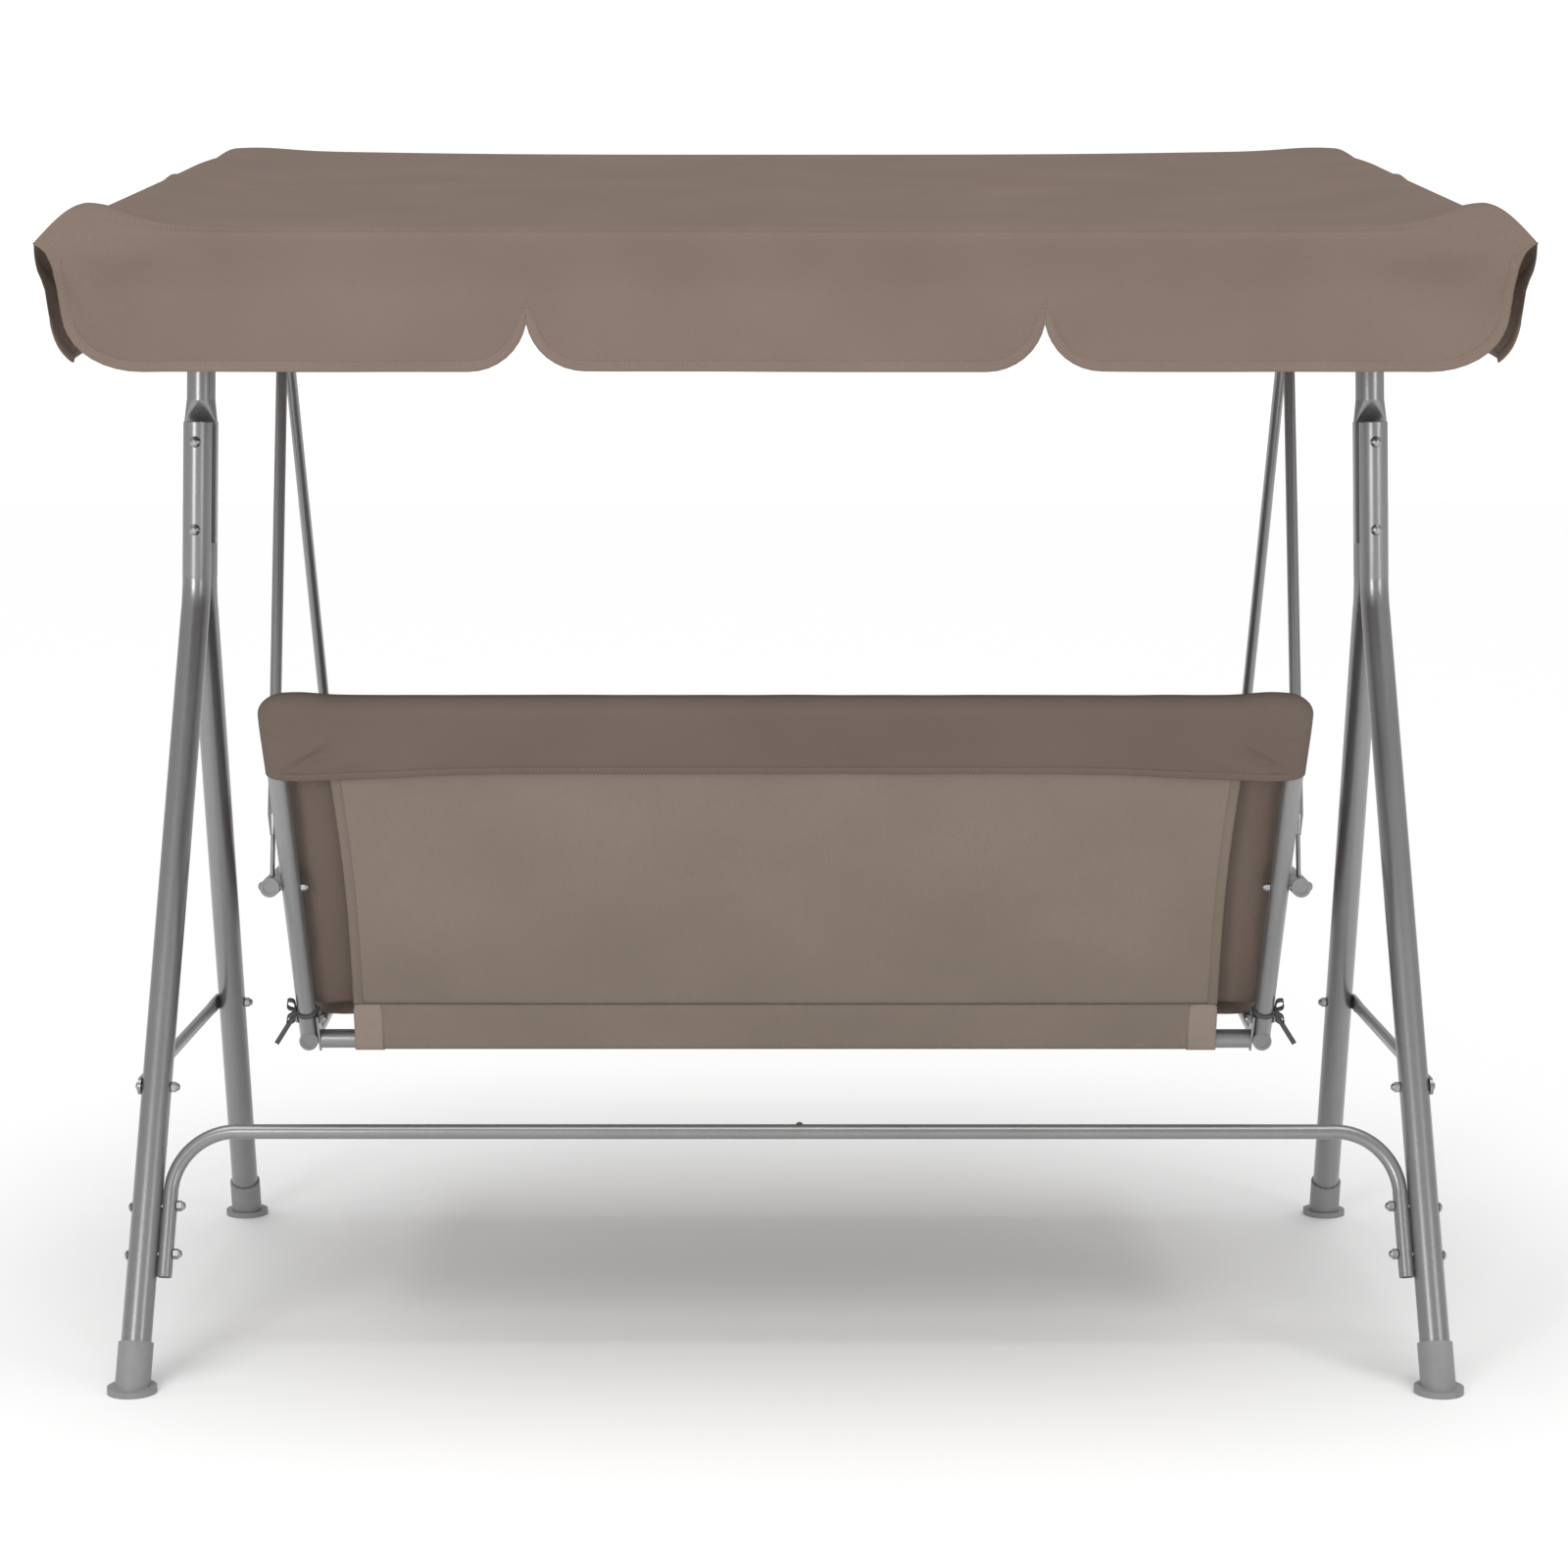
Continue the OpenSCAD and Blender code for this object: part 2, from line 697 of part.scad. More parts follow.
// ---------- slings and cushions ----------

// Cloth sleeve round a rail whose axis is at (y, z) in a profile
module sleeve_profile(y, z) {
    translate([y, z]) difference() {
        circle(r = sleeve_r + cloth_t);
        circle(r = sleeve_r);
    }
}

module back_sling() {
    color(sling_brown) on_back() across(sling_w) {
        sleeve_profile(0, 0);
        sleeve_profile(0, post_len);
        translate([-cloth_t / 2, sleeve_r + cloth_t / 2])
            square([cloth_t, post_len - 2 * sleeve_r - cloth_t]);
    }
}

// The seat sling starts beside the rear rail's sleeve and ends round the front rail
module seat_sling() {
    start = sleeve_r + cloth_t + 1.2;
    color(sling_brown) on_seat() across(sling_w) {
        sleeve_profile(seat_len, 0);
        translate([start, sleeve_r]) square([seat_len - start, cloth_t]);
    }
}

// Slab with round corners, standing on z = 0 with its near edge on y = 0
module slab(w, len, t, r) {
    linear_extrude(t) translate([0, len / 2]) offset(r = r, $fn = 32)
        square([w - 2 * r, len - 2 * r], center = true);
}

module back_cushion() {
    color(cushion_brown) on_back() translate([0, hood_r + cloth_t + gap + back_pad_t, back_pad_start])
        rotate([90, 0, 0])
            slab(pad_w, post_len - pad_below_rail - back_pad_start, back_pad_t, pad_r);
}

module seat_cushion() {
    color(cushion_brown) on_seat() translate([0, seat_pad_start, sleeve_r + cloth_t + gap])
        slab(pad_w, seat_len + 18 - seat_pad_start, seat_pad_t, pad_r);
}

// Pocket of the back cushion that slips over the top rail
module cushion_hood() {
    color(cushion_brown) on_back() across(hood_w) translate([0, post_len])
        difference() {
            union() {
                circle(r = hood_r + cloth_t);
                translate([-hood_r - cloth_t, -hood_drop]) square([cloth_t, hood_drop]);
            }
            circle(r = hood_r);
            translate([-hood_r, -hood_drop - 1]) square([2 * hood_r + 5, hood_drop + 1]);
        }
}

// Ribbon ties of the cushion, round the foot of each backrest post
module cushion_ties() {
    color(cap_grey)
        for (s = [-1, 1])
            seat_corner(s, 0) translate([0, 0, tie_up]) {
                difference() {
                    cylinder(d = seat_d + 5, h = 6);
                    translate([0, 0, -1]) cylinder(d = seat_d + 2 * gap, h = 8);
                }
                translate([seat_d / 2 + 1.6, -3, 0]) rotate([0, -18, 0])
                    translate([0, 0, -44]) cube([1.2, 6, 45]);
            }
}

// ---------- canopy ----------

// The canopy's own plane: rails on z = 0, +Y up the slope to the front
module in_canopy() {
    translate([0, 0, tilt_z]) rotate([canopy_tilt, 0, 0]) translate([0, 0, rail_up]) children();
}

module canopy_side_rail(s) {
    half = canopy_y - elbow_r - elbow_leg;
    color(tube_grey) in_canopy() translate([s * canopy_x, half, 0]) rotate([90, 0, 0])
        tube(canopy_d, 2 * half);
}

module canopy_end_rail(f) {
    half = canopy_x - elbow_r - elbow_leg;
    color(tube_grey) in_canopy() translate([0, f * canopy_y, 0]) tube_x(canopy_d, -half, half);
}

module canopy_centre_rail() {
    half = canopy_x - canopy_d / 2 - fit;
    color(tube_grey) in_canopy() tube_x(canopy_d, -half, half);
}

// Plastic elbows that join the rails at the four corners
module canopy_corners() {
    leg = elbow_leg - fit;
    color(cap_grey) in_canopy()
        for (a = [0, 1], b = [0, 1])
            mirror([a, 0, 0]) mirror([0, b, 0])
                translate([canopy_x - elbow_r, canopy_y - elbow_r, 0]) {
                    rotate_extrude(angle = 90, $fn = 64) translate([elbow_r, 0])
                        circle(d = elbow_d);
                    translate([elbow_r, 0, 0]) rotate([90, 0, 0]) cylinder(d = elbow_d, h = leg);
                    translate([0, elbow_r, 0]) rotate([0, -90, 0]) cylinder(d = elbow_d, h = leg);
                }
}

// Ears on top of the beam that the canopy tilts on
module canopy_brackets() {
    color(leg_grey)
        for (s = [-1, 1])
            translate([s * tilt_x, 0, 0])
                difference() {
                    union() {
                        translate([0, 0, tilt_z]) hole_x(30, tilt_ear);
                        translate([-tilt_ear / 2, -15, beam_z])
                            cube([tilt_ear, 30, tilt_z - beam_z]);
                    }
                    translate([0, 0, beam_z]) hole_x(leg_d + fit, 2 * tilt_ear);
                    translate([0, 0, tilt_z]) hole_x(8.1, 2 * tilt_ear);
                }
}

// Plates under the centre rail, outside the beam's ears
module tilt_plates() {
    color(tube_grey)
        for (s = [-1, 1])
            translate([s * (tilt_x + tilt_ear + 2 * fit), 0, tilt_z]) rotate([canopy_tilt, 0, 0])
                difference() {
                    union() {
                        hole_x(30, tilt_ear);
                        translate([-tilt_ear / 2, -15, 0]) cube([tilt_ear, 30, rail_up]);
                    }
                    translate([0, 0, rail_up]) hole_x(canopy_d + fit, 2 * tilt_ear);
                    hole_x(8, 2 * tilt_ear);
                }
}

// Hand knobs with their bolts
module tilt_knobs() {
    outer = 1.5 * tilt_ear + 3 * fit;
    color(cap_grey)
        for (s = [-1, 1])
            on_side(s) translate([tilt_x, 0, tilt_z]) rotate([0, 90, 0]) {
                translate([0, 0, -tilt_ear / 2 - 7]) cylinder(d = 8, h = outer + tilt_ear / 2 + 9);
                translate([0, 0, -tilt_ear / 2 - 7 - 2 * fit]) hex(13, 7);
                translate([0, 0, outer]) cylinder(d = 16, h = 15);
                for (i = [0 : knob_lobes - 1])
                    rotate([0, 0, i * 360 / knob_lobes]) translate([10, 0, outer + 4])
                        cylinder(d = 11, h = 10);
            }
}

module canopy_top() {
    color(canopy_brown) in_canopy() translate([0, 0, cloth_up + cloth_t / 2])
        cube([2 * (canopy_x + cloth_out), 2 * (canopy_y + cloth_out), cloth_t], center = true);
}

// Hanging edge drawn flat: round-cornered scallops between the ends and the notches
module scallops(edges) {
    last = len(edges) - 1;
    translate([edges[0], -valance * 0.45]) square([edges[last] - edges[0], valance * 0.45]);
    for (i = [0 : last - 1])
        translate([edges[i], -valance]) {
            step = edges[i + 1] - edges[i];
            translate([0.5, scallop_r]) square([step - 1, valance - scallop_r]);
            translate([scallop_r, 0]) square([step - 2 * scallop_r, valance]);
            for (x = [scallop_r + 0.5, step - scallop_r - 0.5])
                translate([x, scallop_r]) circle(r = scallop_r);
        }
}

// The front and rear edges hang straight down
module canopy_end_valance(f) {
    half = canopy_x + cloth_out;
    color(canopy_brown) in_canopy()
        translate([0, f * (canopy_y + cloth_out + 1.5), cloth_up + cloth_t])
            rotate([90 - canopy_tilt, 0, 0]) linear_extrude(cloth_t, center = true)
                scallops([-half, -notch_x, notch_x, half]);
}

// The side edges lean outwards a little
module canopy_side_valance(s) {
    half = canopy_y + cloth_out;
    color(canopy_brown) in_canopy() on_side(s)
        translate([canopy_x + cloth_out + 1.5, 0, cloth_up + cloth_t]) rotate([0, -flare, 0])
            rotate([90, 0, 90]) linear_extrude(cloth_t, center = true)
                scallops([-half, 0, half]);
}

// ---------- what is drawn ----------

leg(-1, -1);  // leg_rear_left
leg(1, -1);  // leg_rear_right
leg(-1, 1);  // leg_front_left
leg(1, 1);  // leg_front_right
foot_cap(-1, -1);  // foot_cap_rear_left
foot_cap(1, -1);  // foot_cap_rear_right
foot_cap(-1, 1);  // foot_cap_front_left
foot_cap(1, 1);  // foot_cap_front_right
side_brace(-1);  // side_brace_left
side_brace(1);  // side_brace_right
crossbar(-1);  // crossbar_left
crossbar(1);  // crossbar_right
top_beam(-1);  // top_beam_left
top_beam(1);  // top_beam_right
leg_bolts();
leg_nuts();
tube_bolts();
cap_nuts();
joint_screws();
hanger_brackets();
hanger_pins();
canopy_brackets();
hanger_eye(-1);  // hanger_eye_left
hanger_eye(1);  // hanger_eye_right
hanger_rod(-1, 1);  // hanger_rod_front_left
hanger_rod(1, 1);  // hanger_rod_front_right
hanger_rod(-1, 0);  // hanger_rod_rear_left
hanger_rod(1, 0);  // hanger_rod_rear_right
hanger_hooks();
armrest(-1);  // armrest_left
armrest(1);  // armrest_right
back_post(-1);  // back_post_left
back_post(1);  // back_post_right
seat_side_rail(-1);  // seat_side_rail_left
seat_side_rail(1);  // seat_side_rail_right
tube_end_caps();
back_top_rail();
seat_rear_rail();
seat_front_rail();
rail_brackets();
seat_bolts();
back_sling();
seat_sling();
back_cushion();
seat_cushion();
cushion_hood();
cushion_ties();
canopy_side_rail(-1);  // canopy_side_rail_left
canopy_side_rail(1);  // canopy_side_rail_right
canopy_end_rail(1);  // canopy_front_rail
canopy_end_rail(-1);  // canopy_rear_rail
canopy_centre_rail();
canopy_corners();
tilt_plates();
tilt_knobs();
canopy_top();
canopy_end_valance(-1);  // canopy_valance_rear
canopy_end_valance(1);  // canopy_valance_front
canopy_side_valance(-1);  // canopy_valance_left
canopy_side_valance(1);  // canopy_valance_right
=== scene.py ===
"""Looks of a three-seat garden swing with a fabric canopy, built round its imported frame.

The frame carries every tube, bolt and cap as a CAD node, and this script gives those nodes their
finishes. It makes the cloth itself: the canopy cover with its scalloped edges, the two slings,
the two cushions with their hood, and the ribbon ties. All lengths are in metres, in the frame's
axes: +X to the sitter's right, +Y the way the sitter faces, +Z up.
"""

import json
import logging
import math
from dataclasses import dataclass, field
from enum import Enum
from typing import Sequence

import bmesh
import bpy
from mathutils import Matrix, Vector, noise
from mathutils.bvhtree import BVHTree


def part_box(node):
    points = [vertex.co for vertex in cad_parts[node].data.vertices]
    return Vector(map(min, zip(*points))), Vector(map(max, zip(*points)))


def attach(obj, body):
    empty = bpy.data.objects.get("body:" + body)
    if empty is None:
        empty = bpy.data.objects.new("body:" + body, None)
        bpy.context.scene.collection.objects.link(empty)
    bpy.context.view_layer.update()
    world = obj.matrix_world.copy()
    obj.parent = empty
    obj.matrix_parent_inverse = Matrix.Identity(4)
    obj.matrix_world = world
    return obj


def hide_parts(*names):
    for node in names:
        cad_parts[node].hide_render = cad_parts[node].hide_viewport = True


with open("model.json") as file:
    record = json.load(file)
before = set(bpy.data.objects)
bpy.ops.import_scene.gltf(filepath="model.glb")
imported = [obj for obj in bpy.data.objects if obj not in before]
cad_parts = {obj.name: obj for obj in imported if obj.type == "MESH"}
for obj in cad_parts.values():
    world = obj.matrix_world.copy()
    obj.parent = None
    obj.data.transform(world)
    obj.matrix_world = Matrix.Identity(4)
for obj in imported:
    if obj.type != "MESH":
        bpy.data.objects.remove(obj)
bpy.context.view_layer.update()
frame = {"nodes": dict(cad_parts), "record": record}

LOG = logging.getLogger("swing")
MM = 0.001
UP = Vector((0, 0, 1))
ACROSS = Vector((1, 0, 0))

Line = list[Vector]
Rows = list[list[Vector]]


# ---------- small helpers ----------


def smooth_step(value: float, low: float = 0.0, high: float = 1.0) -> float:
    """Rises smoothly from 0 at low to 1 at high."""
    t = min(max((value - low) / (high - low), 0.0), 1.0)
    return t * t * (3 - 2 * t)


def bump(value: float, centre: float, width: float) -> float:
    """Bell-shaped bump of height 1 at the centre."""
    return math.exp(-(((value - centre) / width) ** 2))


def rough(x: float, y: float, size: float, seed: float = 0.0) -> float:
    """Smooth noise from -1 to 1 whose features are about as large as size."""
    return noise.noise(Vector((x / size, y / size, seed)))


def crease(x: float, y: float, start: Sequence[float], end: Sequence[float], width: float) -> float:
    """Height of a soft fold that runs between two points and fades out at both.

    Args:
        x: Place across the cloth.
        y: Place along the cloth.
        start: Where the fold begins.
        end: Where the fold ends.
        width: How wide the fold is.

    Returns:
        A height from 0 to 1.
    """
    a, b, p = Vector(start), Vector(end), Vector((x, y))
    run = b - a
    share = min(max((p - a).dot(run) / run.length_squared, 0.0), 1.0)
    away = (p - a - run * share).length / width
    return math.exp(-(away ** 2)) * math.sin(math.pi * (0.1 + 0.8 * share))


def centre_of(node: str) -> Vector:
    """Middle of a CAD node's box."""
    low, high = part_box(node)
    return (low + high) / 2


def half_size(node: str) -> Vector:
    """Half the size of a CAD node's box."""
    low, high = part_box(node)
    return (high - low) / 2


@dataclass(frozen=True)
class Plane:
    """A leaning plane: its own axes and the point that its sizes are counted from."""

    origin: Vector
    along: Vector
    out: Vector

    def at(self, x: float, along: float, out: float) -> Vector:
        """Point of the plane's own coordinates in the frame."""
        return self.origin + ACROSS * x + self.along * along + self.out * out


def plane_through(low_rail: str, high_rail_centre: Vector) -> tuple[Plane, float]:
    """Plane through two rails.

    Args:
        low_rail: CAD node of the rail that the plane starts at.
        high_rail_centre: A point on the axis of the other rail.

    Returns:
        The plane, with its along axis towards the second rail, and the distance between them.
    """
    start = centre_of(low_rail)
    run = high_rail_centre - start
    run.x = 0
    along = run.normalized()
    return Plane(start, along, along.cross(ACROSS)), run.length


def new_object(name: str, data: bpy.types.ID) -> bpy.types.Object:
    """Links a new object that holds a mesh, a light or a camera."""
    made = bpy.data.objects.new(name, data)
    bpy.context.scene.collection.objects.link(made)
    return made


def smooth_faces(obj: bpy.types.Object) -> None:
    """Shades every face of an object smooth."""
    obj.data.polygons.foreach_set("use_smooth", [True] * len(obj.data.polygons))
    obj.data.update()


class SheetBuilder:
    """Collects grids of points with cloth coordinates and welds them into one mesh."""

    def __init__(self) -> None:
        """Starts an empty sheet."""
        self.mesh = bmesh.new()
        self.uv = self.mesh.loops.layers.uv.new("cloth")

    def grid(self, rows: Rows, uv: Rows, flip: bool = False, closed: bool = False) -> None:
        """Adds a grid of quads.

        Args:
            rows: Points, row by row.
            uv: Cloth coordinates of the same points, in metres.
            flip: Turns the faces over.
            closed: Joins the last row to the first.
        """
        verts = [[self.mesh.verts.new(p) for p in row] for row in rows]
        last = len(rows) if closed else len(rows) - 1
        for i in range(last):
            k = (i + 1) % len(rows)
            for j in range(len(rows[0]) - 1):
                ring = [(i, j), (i, j + 1), (k, j + 1), (k, j)]
                if flip:
                    ring.reverse()
                corners = [verts[a][b] for a, b in ring]
                if len({tuple(round(c, 7) for c in v.co) for v in corners}) < 3:
                    continue
                face = self.mesh.faces.new(corners)
                for loop, (a, b) in zip(face.loops, ring):
                    loop[self.uv].uv = uv[a][b][:2]

    def loop(self, sections: Rows, uv: Rows) -> None:
        """Adds a strip from its cross sections, which are closed round."""
        self.grid([list(c) for c in zip(*sections)], [list(c) for c in zip(*uv)], closed=True)

    def finish(self, name: str, thickness: float = 0.0, levels: int = 0) -> bpy.types.Object:
        """Welds the grids into an object.

        Args:
            name: The piece's name.
            thickness: Thickness of the cloth, or 0 for a mesh that is closed already.
            levels: Levels of smoothing subdivision.

        Returns:
            The new object, with its finishing modifiers.
        """
        bmesh.ops.remove_doubles(self.mesh, verts=self.mesh.verts, dist=0.02 * MM)
        bmesh.ops.recalc_face_normals(self.mesh, faces=self.mesh.faces)
        mesh = bpy.data.meshes.new(name)
        self.mesh.to_mesh(mesh)
        self.mesh.free()
        made = new_object(name, mesh)
        smooth_faces(made)
        if levels:
            sub = made.modifiers.new("smooth", "SUBSURF")
            sub.levels = sub.render_levels = levels
        if thickness:
            wall = made.modifiers.new("cloth", "SOLIDIFY")
            wall.thickness = thickness
            wall.offset = 0
            wall.use_even_offset = True
        return made


# ---------- shader maths ----------


class Signal:
    """One shader socket that takes part in Python arithmetic."""

    def __init__(self, graph: "Graph", socket: bpy.types.NodeSocket) -> None:
        """Wraps a socket of a graph."""
        self.graph = graph
        self.socket = socket

    def _math(self, operation: str, a: "Signal | float", b: "Signal | float" = 0.0) -> "Signal":
        """Adds one Math node on two values."""
        return self.graph.node("ShaderNodeMath", {"operation": operation}, {0: a, 1: b})

    def __add__(self, other: "Signal | float") -> "Signal":
        """Sum."""
        return self._math("ADD", self, other)

    def __radd__(self, other: float) -> "Signal":
        """Sum with a number on the left."""
        return self._math("ADD", other, self)

    def __sub__(self, other: "Signal | float") -> "Signal":
        """Difference."""
        return self._math("SUBTRACT", self, other)

    def __rsub__(self, other: float) -> "Signal":
        """Difference from a number."""
        return self._math("SUBTRACT", other, self)

    def __mul__(self, other: "Signal | float") -> "Signal":
        """Product."""
        return self._math("MULTIPLY", self, other)

    def __rmul__(self, other: float) -> "Signal":
        """Product with a number on the left."""
        return self._math("MULTIPLY", other, self)

    def sine(self) -> "Signal":
        """Sine of the value, in radians."""
        return self._math("SINE", self)

    def clamped(self) -> "Signal":
        """The value held between 0 and 1."""
        return self.graph.node("ShaderNodeClamp", None, {0: self})


class Graph:
    """Node tree of one material, with one surface shader."""

    def __init__(self, name: str) -> None:
        """Starts a material with a surface shader and an output."""
        self.material = bpy.data.materials.new(name)
        self.material.use_nodes = True
        self.tree = self.material.node_tree
        self.tree.nodes.clear()
        output = self.tree.nodes.new("ShaderNodeOutputMaterial")
        self.shader = self.tree.nodes.new("ShaderNodeBsdfPrincipled")
        self.tree.links.new(self.shader.outputs[0], output.inputs["Surface"])

    def node(self, kind: str, settings: dict | None = None, inputs: dict | None = None,
             output: int | str = 0) -> Signal:
        """Adds a node.

        Args:
            kind: The node's type.
            settings: Its properties, which are set first.
            inputs: Values or signals of its sockets, by name or number.
            output: Which output is returned.

        Returns:
            The chosen output.
        """
        made = self.tree.nodes.new(kind)
        for key, value in (settings or {}).items():
            setattr(made, key, value)
        for key, value in (inputs or {}).items():
            self.plug(value, made.inputs[key])
        return Signal(self, made.outputs[output])

    def plug(self, value: "Signal | float | tuple", socket: bpy.types.NodeSocket) -> None:
        """Links a signal to a socket, or sets the socket's value."""
        if isinstance(value, Signal):
            self.tree.links.new(value.socket, socket)
        else:
            socket.default_value = value

    def surface(self, **sockets: "Signal | float | tuple") -> bpy.types.Material:
        """Sets the shader's sockets, whose spaces are underscores here, and returns the finish."""
        for key, value in sockets.items():
            self.plug(value, self.shader.inputs[key.replace("_", " ")])
        return self.material

    def place(self, output: str, turn: float = 0.0, stretch: tuple = (1, 1, 1)) -> Signal:
        """Texture coordinates, turned about X and scaled."""
        start = self.node("ShaderNodeTexCoord", None, None, output)
        return self.node("ShaderNodeMapping", None,
                         {"Vector": start, "Rotation": (turn, 0, 0), "Scale": stretch})

    def noise(self, place: Signal, scale: float, detail: float = 2.0) -> Signal:
        """Smooth noise, around 0.5."""
        return self.node("ShaderNodeTexNoise", None,
                         {"Vector": place, "Scale": scale, "Detail": detail})

    def blend(self, share: Signal, low: tuple, high: tuple) -> Signal:
        """Mixes two colours."""
        return self.node("ShaderNodeMix", {"data_type": "RGBA"}, {0: share, 6: low, 7: high}, 2)

    def bumped(self, height: Signal, distance: float, strength: float = 1.0) -> Signal:
        """Surface normal that follows a height."""
        return self.node("ShaderNodeBump", None,
                         {"Height": height, "Distance": distance, "Strength": strength})


def shade(colour: tuple, factor: float) -> tuple:
    """A colour made lighter or darker, with its alpha."""
    return tuple(min(c * factor, 1.0) for c in colour[:3]) + (1.0,)


class Weave(Enum):
    """Which coordinates the threads of a cloth follow."""

    SHEET = "UV"
    PAD = "Object"


@dataclass(frozen=True)
class Cloth:
    """Woven cloth: a plain weave with uneven dye, painted shade in the weave's dips, and slightly
    fuzzy threads.
    """

    name: str
    colour: tuple
    thread: float
    relief: float = 0.4
    mottle: float = 0.09
    sheen: float = 0.0
    follows: Weave = Weave.SHEET
    turn: float = 0.0

    def material(self) -> bpy.types.Material:
        """Builds the finish."""
        graph = Graph(self.name)
        place = graph.place(self.follows.value, self.turn)
        split = graph.tree.nodes.new("ShaderNodeSeparateXYZ")
        graph.plug(place, split.inputs[0])
        steps = 2 * math.pi / self.thread
        waver = graph.noise(place, 60.0, 1.0) * 0.8
        warp = (Signal(graph, split.outputs[0]) * steps + waver).sine()
        weft = (Signal(graph, split.outputs[1]) * steps + waver).sine()
        knots = warp * weft
        broad = graph.noise(place, 5.0, 3.0)
        fine = graph.noise(place, 420.0, 2.0)
        # knots lighten the thread crossings and darken the dips between them: painted highlight and
        # painted shade of the weave's relief, on top of the uneven dye.
        share = ((broad - 0.5) * 1.6 + (fine - 0.5) * 1.1 + knots * 0.16 + 0.5).clamped()
        tint = graph.blend(share, shade(self.colour, 1 - self.mottle),
                           shade(self.colour, 1 + self.mottle))
        height = knots * 0.5 + warp * 0.2 + fine * 0.6
        return graph.surface(
            Base_Color=tint, Roughness=0.86 + (fine - 0.5) * 0.12, Sheen_Weight=self.sheen,
            Sheen_Roughness=0.45, Specular_IOR_Level=0.12,
            Normal=graph.bumped(height, self.thread * 0.25, self.relief))


@dataclass(frozen=True)
class Paint:
    """Semi-gloss powder coat on steel: fine orange peel and faint unevenness of tone."""

    name: str
    colour: tuple
    gloss: float = 0.31
    metal: float = 0.7

    def material(self) -> bpy.types.Material:
        """Builds the finish."""
        graph = Graph(self.name)
        place = graph.place("Object")
        broad = graph.noise(place, 9.0, 3.0)
        peel = graph.noise(place, 900.0, 2.0)
        dust = graph.noise(place, 160.0, 4.0)
        share = ((broad - 0.5) * 1.2 + (dust - 0.5) * 0.8 + 0.5).clamped()
        tint = graph.blend(share, shade(self.colour, 0.93), shade(self.colour, 1.07))
        return graph.surface(
            Base_Color=tint, Metallic=self.metal, Roughness=self.gloss + (dust - 0.5) * 0.1,
            Coat_Weight=0.1, Coat_Roughness=0.3, Normal=graph.bumped(peel, 0.08 * MM, 0.35))


@dataclass(frozen=True)
class Zinc:
    """Zinc-plated steel: bright, with fine turned marks and small dull patches."""

    name: str
    colour: tuple

    def material(self) -> bpy.types.Material:
        """Builds the finish."""
        graph = Graph(self.name)
        place = graph.place("Object")
        patches = graph.noise(place, 70.0, 4.0)
        marks = graph.noise(graph.place("Object", 0.0, (1, 14, 14)), 260.0, 2.0)
        share = ((patches - 0.5) * 2.0 + 0.5).clamped()
        return graph.surface(
            Base_Color=graph.blend(share, shade(self.colour, 0.85), shade(self.colour, 1.1)),
            Metallic=1.0, Roughness=0.30 + patches * 0.16,
            Normal=graph.bumped(marks, 0.05 * MM, 0.3))


@dataclass(frozen=True)
class Moulded:
    """Moulded plastic with a fine matt grain."""

    name: str
    colour: tuple

    def material(self) -> bpy.types.Material:
        """Builds the finish."""
        graph = Graph(self.name)
        place = graph.place("Object")
        grain = graph.noise(place, 1500.0, 3.0)
        rub = graph.noise(place, 40.0, 4.0)
        share = ((rub - 0.5) * 1.8 + 0.5).clamped()
        return graph.surface(
            Base_Color=graph.blend(share, shade(self.colour, 0.92), shade(self.colour, 1.08)),
            Roughness=0.5 + (rub - 0.5) * 0.2, Specular_IOR_Level=0.4,
            Normal=graph.bumped(grain, 0.06 * MM, 0.5))


class Finishes:
    """Every finish of the swing, built once."""

    def __init__(self, recline: float) -> None:
        """Builds the materials; recline is the lean of the backrest in radians."""
        brown = (0.205, 0.155, 0.127)
        shadow_brown = (0.168, 0.129, 0.107)
        self.stand = Paint("stand_coat", (0.285, 0.285, 0.288)).material()
        self.seat_tube = Paint("seat_coat", (0.30, 0.30, 0.303)).material()
        self.zinc = Zinc("zinc", (0.40, 0.40, 0.41)).material()
        self.caps = Moulded("cap_plastic", (0.25, 0.25, 0.253)).material()
        self.canopy = Cloth("canopy_cloth", brown, 1.1 * MM).material()
        self.binding = Cloth("canopy_tape", shade(brown, 1.08), 0.8 * MM, relief=0.5).material()
        self.sling = Cloth("sling_mesh", (0.230, 0.187, 0.156), 2.2 * MM, relief=0.55).material()
        self.sling_hem = Cloth("sling_hem", (0.205, 0.163, 0.134), 1.4 * MM, relief=0.5).material()
        self.patch = Cloth("sling_patch", (0.30, 0.245, 0.207), 1.0 * MM).material()
        self.back_pad = Cloth("back_pad_cloth", shadow_brown, 1.2 * MM, follows=Weave.PAD,
                              turn=-recline + math.pi / 2).material()
        self.seat_pad = Cloth("seat_pad_cloth", shadow_brown, 1.2 * MM,
                              follows=Weave.PAD).material()
        self.hood = Cloth("hood_cloth", (0.152, 0.117, 0.100), 1.2 * MM).material()
        self.thread = Cloth("thread", (0.30, 0.24, 0.20), 0.5 * MM, follows=Weave.PAD).material()
        self.ribbon = Cloth("ribbon", (0.11, 0.108, 0.106), 0.9 * MM).material()


# ---------- geometry node trees ----------


